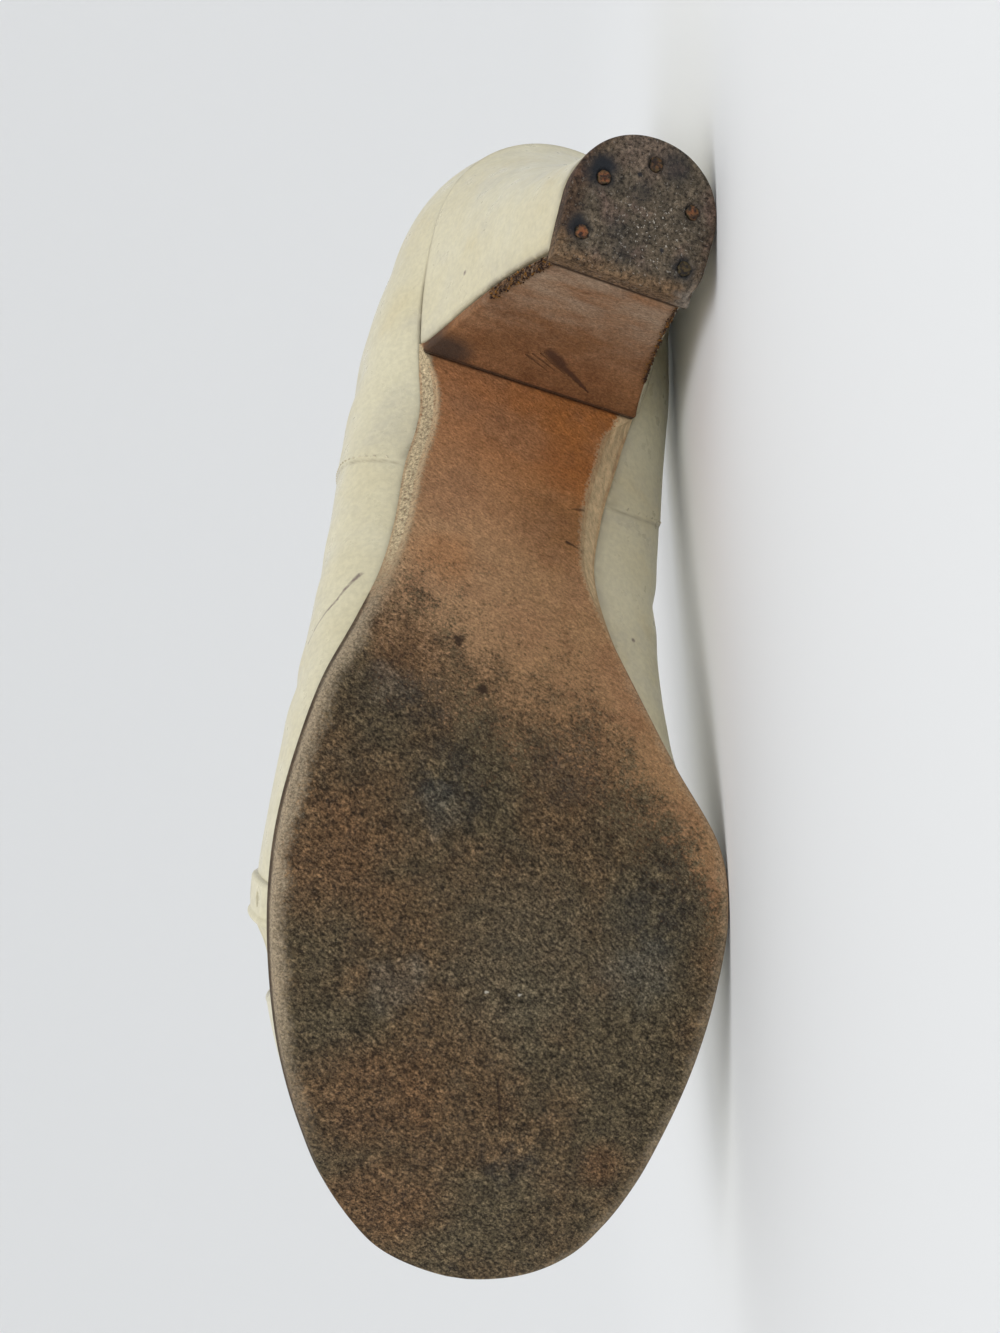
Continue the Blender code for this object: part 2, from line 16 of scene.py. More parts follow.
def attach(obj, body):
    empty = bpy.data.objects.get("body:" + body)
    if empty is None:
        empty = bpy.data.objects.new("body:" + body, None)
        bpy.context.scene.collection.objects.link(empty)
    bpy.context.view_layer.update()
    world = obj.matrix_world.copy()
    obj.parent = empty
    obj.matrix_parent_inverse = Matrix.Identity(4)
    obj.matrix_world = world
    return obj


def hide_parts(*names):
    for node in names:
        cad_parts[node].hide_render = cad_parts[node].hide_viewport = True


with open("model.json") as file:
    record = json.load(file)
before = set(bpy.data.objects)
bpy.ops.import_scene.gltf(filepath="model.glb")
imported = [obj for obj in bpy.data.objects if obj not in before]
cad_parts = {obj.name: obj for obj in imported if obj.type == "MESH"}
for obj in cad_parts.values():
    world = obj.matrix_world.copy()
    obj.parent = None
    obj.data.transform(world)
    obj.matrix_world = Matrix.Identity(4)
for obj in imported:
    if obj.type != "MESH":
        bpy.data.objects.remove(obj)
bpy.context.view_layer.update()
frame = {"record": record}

MM = 0.001
GAP = 0.3
LATERAL = -1
MEDIAL = 1
SIDES = (LATERAL, MEDIAL)
SEED = 7

# Driving dimensions, as in the solids
LENGTH = 230.3
BREAST_Y = 58.0
BREAST_Z = 51.4
BALL_Y = 154.0
SPRING_Y = 165.5
TOE_SPRING = 11.5
SEAT_Z = 67.9
HEEL_CENTRE_Y = 33.0
STEEPEST_EDGE = 2.5
ROUND_TOE_Y = 215.0
ARCH_SHARE = 0.55
ARCH_POWER = 1.6
FOREPART_THICKNESS = 4.0
WAIST_THICKNESS = 3.1
FLAP_THICKNESS = 2.0
BEVEL_LIMIT = 0.3
SOLE_TIP = 0.15
WALL = 1.8
THROAT_Y = 148.0
COUNTER_BULGE = 4.0
COUNTER_RISE = 20.0
PEEP_FEATHER_Y = 224.0
PEEP_CREST_Y = 210.0
BAND_START_Y = 165.3
BAND_END_Y = 172.8
BAND_WIDTH = BAND_END_Y - BAND_START_Y
BAND_RAISE = 1.0
CREST_SQUARENESS = 2.2
COUNTER_SQUARENESS = 1.95
WINDOW_Y = 180.4
WINDOW_HALF = 6.9
WINDOW_SILL = 3.2
WINDOW_HEIGHT = 19.0
WINDOW_FRONT_ROUNDNESS = 0.8
WINDOW_BACK_ROUNDNESS = 0.45
INSOLE_THICKNESS = 2.2
INSOLE_TOE_SETBACK = 2.6
LIFT_THICKNESS = 5.5
LIFT_FRONT_Y = 46.6
LIFT_CENTRE_X = -0.2
LIFT_BACK_Y = 21.2
LIFT_HALF_WIDTH = 13.8
HEEL_FRONT_HALF = 25.4
FRONT_NARROWING = 0.975
BREAST_BOW = 2.6
FLAP_MARGIN = 1.0
HEEL_FLAT_SHARE = 0.48
HEEL_ROUNDNESS = 0.96
HEEL_TAPER = 0.85
BACK_CURVE = 0.8
NAIL_RADIUS = 1.3
NAIL_LENGTH = 4.0
NAIL_PLACES = ((-8.6, 30.9), (-0.1, 25.6), (8.6, 31.4), (-10.0, 41.3), (9.8, 41.4))
LOWER_ROWS = 4
UPPER_ROWS = 8
ALL_ROWS = LOWER_ROWS + UPPER_ROWS
LIFT_MOUNT = (0.0, 36.0, 0.0)
TREAD_MOUNT = (8.5, 159.0, 0.0)

# Finer sizes that only the looks have
SHARP_ANGLE = math.radians(50)
SIDE_MARGIN = 5.0
CREASE_FREE_HEIGHT = 7.0
CREASE_BLEND = 8.0
CREASE_RIDGE = 0.4
CREASE_RIDGE_PLACE = 2.0
ROLL_RADIUS = 1.0
ROLL_SINK = 1.3
ROLL_DIRT = 0.12
SOCK_CLEARANCE = 0.1
SOCK_LAP = 0.5
SOLE_ROUNDING = 0.7
SOLE_EDGE_BULGE = 0.05
FOLD_DEPTH = 0.3
FOLD_WIDTH = 0.35
FOLD_DARK_WIDTH = 0.3
FOLD_RUN = 4.0
GLUE_SPREAD = 1.6
GLUE_CRUMBS = 640
GLUE_RUNS = ((0, 0.5, 0.99), (1, 0.26, 0.99))
GLUE_ON_EDGE = 0.6
SEAM_LAP = 0.28
SEAM_BLEND = 0.5
SEAM_RUN_OUT = 14.0
SEAM_DIRT_AND_SHADE = 0.6
SEAM_DIRT_AND_SHADE_WIDTH = 0.35
FEATHER_DIRT_AND_SHADE = 0.8
FEATHER_DIRT_AND_SHADE_HEIGHT = 0.9
BURNISH_START_Y = 104.0
BURNISH_RUN = 14.0
STITCH_PITCH = 1.6
STITCH_LENGTH = 1.05
STITCH_RADIUS = 0.17
STITCH_SETBACK = 1.1
STITCH_START = 2.5
STITCH_STOP = 2.0
OUTSIDE_X = 80.0
STITCH_LIFT = 0.05
BAND_SINK = 0.15
BAND_LIP_RADIUS = 0.85
BAND_LIP_DROP = 0.35
BAND_FADE_ROWS = 1.5
BAND_EDGE_DIRT_AND_SHADE = 0.3
BAND_EDGE_DIRT_AND_SHADE_WIDTH = 0.1
HOLE_LENGTH = 2.4
HOLE_WIDTH = 1.1
HOLE_PITCH = 6.0
HOLE_PLACE = 0.42
HOLE_DEPTH = 0.9
HOLE_RIM = 1.15
HOLE_SLOPE = 0.3
HEEL_REACH = 0.22
HEEL_REACH_SHARE = 0.03
HEEL_CORNER = 0.45
HEEL_CORNER_ANGLE = math.radians(55)
HEEL_SEAT_DIRT_AND_SHADE = 0.6
HEEL_SEAT_SHARE = 0.012
HEEL_FOOT_DIRT_AND_SHADE = 0.7
HEEL_FOOT_SHARE = 0.035
HEEL_BREAST_DIRT_WIDTH = 1.2
CHIP_REACH = 5.5
CHIP_DEPTH = 1.8
CHIP_SHIFT = (0.9, 0.7)
CHIP_RAGGEDNESS = 1.6
CHIP_HEIGHT = 3.0
LIFT_ROUGHNESS = 0.12
LIFT_GOUGES = 0.15
NAIL_PIT_DEPTH = 0.75
NAIL_PIT_MARGIN = 0.4
NAIL_PIT_SLOPE = 0.45
NAIL_DENT_SCALE = 1.6
NAIL_DENT_WIDTH = 0.24
NAIL_DENT_DEPTH = 0.2
NAIL_RUST = (0.85, 0.45, 0.7, 1.0, 0.05)

# How finely the pieces are meshed
SHELL_LOWER_POINTS = 20
SHELL_UPPER_POINTS = 52
VAMP_COLUMNS = 92
QUARTER_COLUMNS = 96
QUARTER_BUNCHING = 1.4
COUNTER_COLUMNS = 84
SEAM_STEP = 0.35
SEAM_ZONE = (-4.0, 11.0)
SEAM_ZONE_MARGIN = 0.3
WELD = 0.01
ROLL_STEP = 0.8
ROLL_SIDES = 12
STITCH_POINTS = 7
STITCH_SIDES = 8
BAND_LINES = 210
SOLE_ACROSS = -np.cos(np.linspace(0, math.pi, 65))
SOLE_CLIMB = np.linspace(0, 1, 6)[1:-1]
SOLE_BACK = np.linspace(1, -1, 25)
INSOLE_ACROSS = -np.cos(np.linspace(0, math.pi, 41))
HEEL_RINGS = 66
LIFT_RINGS = 46
NAIL_SIDES = 28

# The photograph's camera, in millimetres of the standing shoe
CAMERA_PLACE = (-61.15, 121.88, -225.56)
CAMERA_RIGHT = (0.87997, -0.24684, -0.40586)
CAMERA_TARGET = (1.0, 118.0, 22.0)
CAMERA_LENS = 36.0
CAMERA_SENSOR = 36.0

# Floor and light, in metres and watts
FLOOR_FLAT = 0.45
FLOOR_BEND = 1.9
FLOOR_TILT = 75.0
FLOOR_TURNS = 96
FLOOR_RINGS = 40
FLOOR_COLOUR = (0.80, 0.81, 0.815, 1.0)
FLOOR_ROUGHNESS = 0.75
SOFTBOX_PLACE = (-0.3, -1.5, 1.8)
SOFTBOX_TARGET = (0.0, 0.0, 0.05)
SOFTBOX_SIZE = 1.5
SOFTBOX_POWER = 20.0
SKY_COLOUR = (0.985, 0.99, 1.0, 1.0)
SKY_STRENGTH = 0.775


class Table:
    """Sizes in rows along the shoe, read between the rows by a smooth cubic."""

    def __init__(self, columns, rows):
        values = np.array(rows, dtype=float)
        self.station = values[:, 0]
        self.column = {name: values[:, i] for i, name in enumerate(columns)}
        self.slope = {name: np.gradient(v, self.station) for name, v in self.column.items()}

    def at(self, name, y):
        value = self.column[name]
        slope = self.slope[name]
        i = np.clip(np.searchsorted(self.station, y) - 1, 0, len(self.station) - 2)
        step = self.station[i + 1] - self.station[i]
        s = np.clip((y - self.station[i]) / step, 0.0, 1.0)
        near = value[i] * (1 + 2 * s) * (1 - s) ** 2 + slope[i] * step * s * (1 - s) ** 2
        far = value[i + 1] * s * s * (3 - 2 * s) - slope[i + 1] * step * s * s * (1 - s)
        return near + far


# Outline of the bottom: centre line, half width, how far the upper is tucked in, bevel on each edge
BOTTOM = Table(
    ("y", "centre", "half", "tuck", "bevel_lateral", "bevel_medial"),
    (
        (33.0, 0.0, 27.9, 0.5, 0.7, 0.7),
        (46.0, -0.2, 27.1, 0.5, 0.7, 0.7),
        (58.0, -0.6, 24.9, 0.7, 0.9, 0.9),
        (63.0, -0.6, 23.6, 0.9, 2.8, 4.8),
        (70.0, -0.6, 22.2, 1.0, 3.0, 5.2),
        (84.0, -2.6, 21.4, 1.0, 2.8, 4.6),
        (96.0, -3.1, 21.2, 1.0, 2.3, 3.0),
        (106.0, -2.0, 23.6, 1.2, 1.6, 1.4),
        (116.0, -0.5, 28.1, 1.6, 0.9, 0.8),
        (128.0, 1.8, 34.4, 2.0, 0.7, 0.7),
        (140.0, 5.9, 40.4, 2.2, 0.7, 0.7),
        (152.0, 7.7, 42.7, 2.2, 0.7, 0.7),
        (166.0, 9.3, 42.5, 2.2, 0.7, 0.7),
        (180.0, 11.1, 40.4, 2.2, 0.7, 0.7),
        (194.0, 13.1, 36.7, 2.2, 0.7, 0.7),
        (206.0, 15.4, 32.1, 2.2, 0.7, 0.7),
        (215.0, 17.1, 27.3, 2.2, 0.7, 0.7),
        (222.0, 18.6, 21.8, 2.2, 0.7, 0.7),
        (227.0, 19.2, 15.0, 2.2, 0.7, 0.7),
        (230.3, 20.0, 0.0, 2.2, 0.7, 0.7),
    ),
)
HALF_SQUARED = Table(("y", "half"), np.stack((BOTTOM.station, BOTTOM.column["half"] ** 2), 1))

# Sections of the last: widest line on each side and its rise, start angle of the wall, crest
LAST = Table(
    ("y", "lateral", "medial", "rise", "lean", "crest_x", "crest_z"),
    (
        (33.0, 31.8, 34.4, 18.0, 38.0, 0.8, 150.0),
        (45.0, 33.6, 37.0, 18.0, 34.0, 0.9, 143.0),
        (57.0, 34.2, 38.1, 18.0, 26.0, 1.0, 134.0),
        (80.0, 34.6, 37.9, 17.0, 10.0, 2.0, 112.0),
        (102.0, 34.4, 37.1, 16.0, 10.0, 3.5, 90.0),
        (122.0, 34.9, 39.6, 15.0, 20.0, 6.0, 70.0),
        (140.0, 35.6, 45.4, 13.5, 35.0, 9.0, 55.5),
        (154.0, 35.2, 49.2, 12.5, 40.0, 11.5, 47.5),
        (170.0, 33.4, 51.0, 11.5, 40.0, 13.5, 40.5),
        (185.0, 28.0, 50.2, 10.5, 40.0, 15.5, 36.0),
        (200.0, 20.4, 48.3, 9.5, 40.0, 17.2, 32.5),
        (212.0, 12.2, 45.2, 8.5, 40.0, 18.6, 29.5),
        (222.0, 3.2, 40.2, 7.0, 40.0, 19.6, 25.0),
        (230.0, -12.0, 30.0, 5.0, 40.0, 20.5, 18.0),
    ),
)

# Height of the collar edge, from the counter to the throat
COLLAR = Table(
    ("y", "z"),
    (
        (0.0, 121.0),
        (33.0, 108.5),
        (60.0, 92.5),
        (90.0, 75.5),
        (120.0, 60.5),
        (THROAT_Y, LAST.at("crest_z", THROAT_Y)),
    ),
)

# Side seams: where each crosses the wall, and how it leans as it climbs
SEAMS = {LATERAL: (83.3, 41.6, 0.2), MEDIAL: (79.5, 44.0, -0.1)}

# Creases across the vamp, seen from above: two ends (x, y), depth, width
VAMP_CREASES = (
    (-26.0, 151.0, 4.0, 155.5, 0.55, 2.2),
    (-24.0, 157.5, 9.0, 160.5, 0.45, 1.9),
    (22.0, 156.0, 46.0, 150.5, 0.5, 2.2),
    (18.0, 161.5, 45.0, 158.0, 0.4, 1.9),
)

# Creases on the sides, seen from the side: side, two ends (y, z), depth, width
SIDE_CREASES = (
    (LATERAL, 96.0, 34.0, 112.0, 47.0, 0.5, 3.4),
    (LATERAL, 60.0, 66.0, 70.0, 86.0, 0.7, 5.0),
    (LATERAL, 128.0, 22.0, 140.0, 40.0, 0.45, 3.0),
    (MEDIAL, 92.0, 40.0, 108.0, 52.0, 0.6, 3.6),
    (MEDIAL, 58.0, 72.0, 72.0, 84.0, 0.6, 5.0),
    (MEDIAL, 126.0, 22.0, 138.0, 38.0, 0.5, 3.0),
    (MEDIAL, 15.0, 74.0, 36.0, 76.0, 0.35, 9.0),
)

# Marks on the cream leather: scratches by their two ends and width, specks by place and radius
SCRATCHES = (
    ((-29.0, 107.8, 26.6), (-32.1, 114.3, 25.5), 0.5),
    ((-31.9, 113.8, 25.5), (-34.8, 123.1, 27.5), 0.45),
)
HEEL_SPECKS = (((-21.9, 42.3, 42.2), 0.8),)
UPPER_SPECKS = (((27.8, 106.0, 28.1), 0.8),)

# Marks on the outsole: two ends, width, how far it runs out to a point, strength
SLASH = (((-0.8, 53.4, 39.6), (10.8, 56.4, 47.7), 2.3, 0.88, 1.0),)
SLASH_SCRATCHES = (
    ((-5.2, 54.2, 42.4), (0.4, 55.3, 45.2), 0.4, 0.5, 1.0),
    ((-4.0, 53.9, 41.5), (2.2, 55.1, 44.6), 0.36, 0.5, 1.0),
    ((-2.6, 53.6, 40.6), (4.2, 55.0, 44.4), 0.4, 0.5, 1.0),
)
CUTS = (
    ((10.7, 90.1, 32.9), (15.2, 91.6, 32.5), 0.5, 0.3, 1.0),
    ((15.0, 91.5, 32.6), (19.2, 96.0, 31.4), 0.5, 0.6, 1.0),
    ((11.5, 82.5, 37.8), (16.9, 81.9, 39.2), 0.45, 0.0, 0.7),
    ((14.8, 189.6, 1.6), (17.8, 198.0, 2.9), 0.36, 0.0, 0.8),
)
WHITE_FLECKS = (
    ((8.1, 174.5, 0.2), (8.5, 174.4, 0.2), 0.4, 0.6, 1.0),
    ((14.2, 173.8, 0.2), (14.6, 173.6, 0.2), 0.45, 0.6, 1.0),
)

# Patches of the outsole and the insole: place, radius and, where not as usual, how ragged
DARK_SPOTS = (
    ((-9.6, 115.4, 15.5), 1.7, 0.9),
    ((-3.8, 123.0, 10.8), 1.4, 0.9),
)
BROWNER = (
    ((-25.1, 157.0, 0.0), 16.0),
    ((-6.0, 197.0, 2.6), 17.0),
    ((2.0, 217.0, 8.0), 17.0),
    ((-20.0, 118.0, 13.5), 12.0),
    ((38.6, 202.2, 3.7), 7.0),
)
GREYER = (
    ((14.0, 168.0, 0.1), 22.0),
    ((33.0, 162.0, 0.0), 15.0),
)
BLACKENED = (
    ((-16.0, 127.5, 8.3), 9.0, 0.9),
    ((-8.0, 141.0, 2.5), 10.0, 0.9),
    ((35.0, 153.0, 0.0), 13.0, 0.7),
    ((22.0, 206.0, 4.7), 7.0, 0.9),
    ((14.0, 132.0, 6.0), 10.0, 0.9),
)
BLOOM = (
    ((-22.0, 126.0, 9.2), 6.0, 0.9),
    ((-9.0, 145.0, 1.5), 6.0, 0.9),
    ((34.0, 166.0, 0.0), 9.0, 0.9),
    ((-8.0, 176.0, 0.3), 8.0, 0.9),
)
FOOT_MARKS = (
    ((0.0, 30.0, 68.0), 27.0, 0.15),
    ((10.0, 158.0, 5.0), 36.0, 0.15),
)

# Stains round the nails and two pits: place, radius, strength
LIFT_STAINS = (
    (-9.4, 29.9, 4.3, 1.0),
    (-11.0, 40.6, 3.2, 0.95),
    (-0.1, 25.6, 2.4, 0.85),
    (3.0, 24.9, 4.2, 0.6),
    (8.6, 31.4, 2.3, 0.8),
    (9.5, 41.6, 3.1, 0.95),
    (-1.5, 31.5, 3.4, 0.4),
    (-4.5, 38.5, 3.0, 0.4),
    (-2.0, 42.5, 3.2, 0.35),
    (-2.6, 28.4, 0.7, 0.9),
    (4.8, 39.8, 0.7, 0.9),
)

# The lift's side from the heel down to its rounded rim: height, width as a share
LIFT_SIDE = (
    (LIFT_THICKNESS, 1.0),
    (LIFT_THICKNESS * 0.7, 1.008),
    (LIFT_THICKNESS * 0.4, 1.012),
    (1.4, 1.014),
    (0.6, 1.01),
    (0.22, 0.998),
    (0.06, 0.986),
)

# A nail from the middle of its flat head to its point: radius, height
NAIL_PROFILE = (
    (0.25, 0.24),
    (0.6, 0.24),
    (0.95, 0.25),
    (1.2, 0.3),
    (NAIL_RADIUS, 0.5),
    (1.1, 1.2),
    (0.8, 1.4),
    (0.75, NAIL_LENGTH),
)


# Shapes of the last, the bottom and the collar

def smoothstep(s):
    s = np.clip(s, 0.0, 1.0)
    return s * s * (3 - 2 * s)


def sole_z(y):
    """Height of the tread side of the outsole."""
    s = np.maximum(BALL_Y - y, 0.0) / (BALL_Y - BREAST_Y)
    arch = BREAST_Z * (ARCH_SHARE * (3 * s * s - 2 * s ** 3) + (1 - ARCH_SHARE) * s ** ARCH_POWER)
    t = np.maximum(y - SPRING_Y, 0.0) / (LENGTH - SPRING_Y)
    return np.where(y <= BALL_Y, arch, TOE_SPRING * t * t)


def base_z(y):
    """Height of the last's underside: the top of the outsole and the seat of the heel."""
    share = smoothstep((y - BREAST_Y) / (BALL_Y - BREAST_Y))
    thick = WAIST_THICKNESS + (FOREPART_THICKNESS - WAIST_THICKNESS) * share
    start = BREAST_Z + WAIST_THICKNESS
    slope = (1 - ARCH_SHARE) * ARCH_POWER * BREAST_Z / (BALL_Y - BREAST_Y)
    run = BREAST_Y - y
    sag = (start + slope * BREAST_Y - SEAT_Z) / BREAST_Y ** 2
    return np.where(y >= BREAST_Y, sole_z(y) + thick, start + slope * run - sag * run * run)


def bottom_half(y):
    """Half width of the bottom, with a round toe."""
    round_toe = np.sqrt(np.maximum(HALF_SQUARED.at("half", y), 0.0))
    return np.where(y <= ROUND_TOE_Y, BOTTOM.at("half", y), round_toe)


def edge_x(y, side, inset=0.0):
    """Edge of the bottom at one station, drawn in by an inset square to the outline."""
    step = 0.5
    behind = BOTTOM.at("centre", y - step) + side * bottom_half(y - step)
    ahead = BOTTOM.at("centre", y + step) + side * bottom_half(y + step)
    slope = np.minimum(np.abs(ahead - behind) / (2 * step), STEEPEST_EDGE)
    half = bottom_half(y) - inset * np.hypot(1.0, slope)
    return BOTTOM.at("centre", y) + side * np.maximum(half, 0.0)


def profile(feather, widest, rise, lean, crest, top, q):
    """Reach and height of the wall at row q, from the feather edge (0) to the collar or the crest."""
    a = lean + (math.pi / 2 - lean) * np.clip(q / LOWER_ROWS, 0.0, 1.0)
    out = (np.sin(a) - np.sin(lean)) / (1 - np.sin(lean))
    up = (np.cos(lean) - np.cos(a)) / np.cos(lean)
    share = np.clip((top - rise) / (crest - rise), 0.0, 1.0)
    b = np.arcsin(share) * np.clip((q - LOWER_ROWS) / UPPER_ROWS, 0.0, 1.0)
    reach = np.maximum(np.cos(b), 0.0) ** (2 / CREST_SQUARENESS)
    high = q > LOWER_ROWS
    r = np.where(high, widest * reach, feather + (widest - feather) * out)
    return r, np.where(high, rise + (crest - rise) * np.sin(b), rise * up)


def section(y, side, top, q):
    """One side of a section of the last, as reach from the crest line and height over the base."""
    crest_x = LAST.at("crest_x", y)
    feather = np.abs(edge_x(y, side, BOTTOM.at("tuck", y)) - crest_x)
    widest = np.abs(side * LAST.at("lateral" if side == LATERAL else "medial", y) - crest_x)
    crest = LAST.at("crest_z", y) - base_z(y) - GAP
    lean = np.radians(LAST.at("lean", y))
    return profile(feather, widest, LAST.at("rise", y), lean, crest, top, q)


def placed(y, side, r, h):
    return np.stack((LAST.at("crest_x", y) + side * r, y, base_z(y) + GAP + h), -1)


def open_column(y, side, q):
    """A column of the wall behind the throat, from the feather edge to the collar."""
    y = np.full_like(q, y)
    r, h = section(y, side, COLLAR.at("z", y) - base_z(y) - GAP, q)
    return placed(y, side, r, h)


def closed_column(feather_y, side, q):
    """A column of the vamp and toe, from the feather edge to the crest; it leans back near the peep toe."""
    ahead = max(feather_y - BAND_END_Y, 0.0) / (PEEP_FEATHER_Y - BAND_END_Y)
    pull = ahead * (PEEP_FEATHER_Y - PEEP_CREST_Y)
    y = feather_y - pull * smoothstep(q / ALL_ROWS)
    r, h = section(y, side, math.inf, q)
    return placed(y, side, r, h)


def counter_column(angle, q):
    """A column round the back of the heel, from the lateral side (0) to the medial side (pi)."""
    side = LATERAL if angle < math.pi / 2 else MEDIAL
    heel = np.full_like(q, HEEL_CENTRE_Y)
    flank_r, flank_h = section(heel, side, COLLAR.at("z", heel) - base_z(heel) - GAP, q)
    depth = HEEL_CENTRE_Y - BOTTOM.at("tuck", HEEL_CENTRE_Y)
    lean = np.radians(LAST.at("lean", HEEL_CENTRE_Y))
    crest = LAST.at("crest_z", HEEL_CENTRE_Y) - base_z(0.0) - GAP
    back_top = COLLAR.at("z", 0.0) - base_z(0.0) - GAP
    bulge = HEEL_CENTRE_Y + COUNTER_BULGE
    back_r, back_h = profile(depth, bulge, COUNTER_RISE, lean, crest, back_top, q)
    across = abs(math.cos(angle)) ** (2 / COUNTER_SQUARENESS)
    behind = abs(math.sin(angle)) ** (2 / COUNTER_SQUARENESS)
    base = base_z(HEEL_CENTRE_Y - depth * behind) + GAP
    height = flank_h + (back_h - flank_h) * math.sin(angle) ** 2
    x = LAST.at("crest_x", HEEL_CENTRE_Y) + side * flank_r * across
    return np.stack((x, HEEL_CENTRE_Y - back_r * behind, base + height), -1)


def standing_to_lying(record):
    """The matrix from the standing shoe to where it lies, from the two faces it stands on."""
    mounts = {m["name"]: m for m in record["mounts"]}
    lift = Vector(mounts["lift_face"]["pos_m"])
    tread = Vector(mounts["tread_face"]["pos_m"])
    up = -Vector(mounts["lift_face"]["axis"]).normalized()
    lift_at = Vector(LIFT_MOUNT) * MM
    tread_at = Vector(TREAD_MOUNT) * MM
    along = (tread - lift).normalized()
    across = up.cross(along)
    turn = math.atan2(tread_at.x - lift_at.x, tread_at.y - lift_at.y)
    x_axis = along * math.sin(turn) - across * math.cos(turn)
    y_axis = along * math.cos(turn) + across * math.sin(turn)
    turned = Matrix((x_axis, y_axis, up)).transposed()
    return Matrix.Translation(lift - turned @ lift_at) @ turned.to_4x4()


LYING = standing_to_lying(frame["record"])
LAID = LYING @ Matrix.Scale(MM, 4)


# Pieces

def show(thing):
    bpy.context.scene.collection.objects.link(thing)
    return thing


def dress(name, mesh, stands_for=()):
    """Show a mesh as a piece and tie it to the part."""
    thing = show(bpy.data.objects.new(name, mesh))
    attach(thing, "root")
    if stands_for:
        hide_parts(*stands_for)
    return thing


def finished(mesh, finishes, masks):
    """Lay a mesh down where the shoe lies, and give it its painted masks and its materials."""
    mesh.transform(LAID)
    for mask, values in masks.items():
        layer = mesh.attributes.new(mask, "FLOAT", "POINT")
        layer.data.foreach_set("value", np.asarray(values, dtype=np.float32))
    mesh.shade_smooth()
    for finish in finishes:
        mesh.materials.append(finish)
    return mesh


def skinned(name, points, faces, finish, slot, stands_for=(), **masks):
    """A piece with a closed skin, from points in millimetres."""
    mesh = bpy.data.meshes.new(name)
    mesh.from_pydata(np.asarray(points).tolist(), [], faces)
    finished(mesh, [finish], masks)
    bm = bmesh.new()
    bm.from_mesh(mesh)
    bmesh.ops.recalc_face_normals(bm, faces=bm.faces)
    bm.to_mesh(mesh)
    bm.free()
    mesh.set_sharp_from_angle(angle=SHARP_ANGLE)
    return dress(name, mesh, stands_for)


def ring_faces(rings, size):
    """Faces of a closed skin through rings of points, with both ends capped."""
    faces = []
    for i in range(rings - 1):
        for j in range(size):
            k = (j + 1) % size
            faces.append((i * size + j, i * size + k, (i + 1) * size + k, (i + 1) * size + j))
    faces.append(tuple(reversed(range(size))))
    faces.append(tuple(range((rings - 1) * size, rings * size)))
    return faces


def ringed(name, rings, finish, slot, stands_for=(), **masks):
    faces = ring_faces(len(rings), len(rings[0]))
    joined = {mask: np.concatenate(values) for mask, values in masks.items()}
    return skinned(name, np.concatenate(rings), faces, finish, slot, stands_for, **joined)


def tube(path, radius, sides, closed=False):
    """Points and faces of a round roll along a path, with one radius or one for each point."""
    path = np.asarray(path)
    ahead = np.roll(path, -1, 0) - np.roll(path, 1, 0)
    if not closed:
        ahead[0] = path[1] - path[0]
        ahead[-1] = path[-1] - path[-2]
    ahead /= np.linalg.norm(ahead, axis=1)[:, None]
    side = np.cross(ahead, (0.31, 0.17, 0.93))
    side /= np.linalg.norm(side, axis=1)[:, None]
    other = np.cross(ahead, side)
    angle = np.linspace(0, 2 * math.pi, sides, endpoint=False)[None, :, None]
    circle = np.cos(angle) * side[:, None] + np.sin(angle) * other[:, None]
    points = path[:, None] + np.broadcast_to(radius, len(path))[:, None, None] * circle
    faces = ring_faces(len(path), sides)
    if closed:
        faces = faces[:-2]
        last = (len(path) - 1) * sides
        faces += [(last + j, last + (j + 1) % sides, (j + 1) % sides, j) for j in range(sides)]
    return points.reshape(-1, 3), faces


def run_along(path):
    """How far along a path each of its points lies."""
    steps = np.linalg.norm(np.diff(path, axis=0), axis=1)
    return np.concatenate(([0.0], np.cumsum(steps)))


def evened(path, step, closed=False):
    """The same path with its points evenly spaced."""
    path = np.asarray(path)
    if closed:
        path = np.concatenate((path, path[:1]))
    run = run_along(path)
    at = np.linspace(0.0, run[-1], int(run[-1] / step) + 1)
    if closed:
        at = at[:-1]
    return np.stack([np.interp(at, run, path[:, i]) for i in range(3)], 1)


# Materials

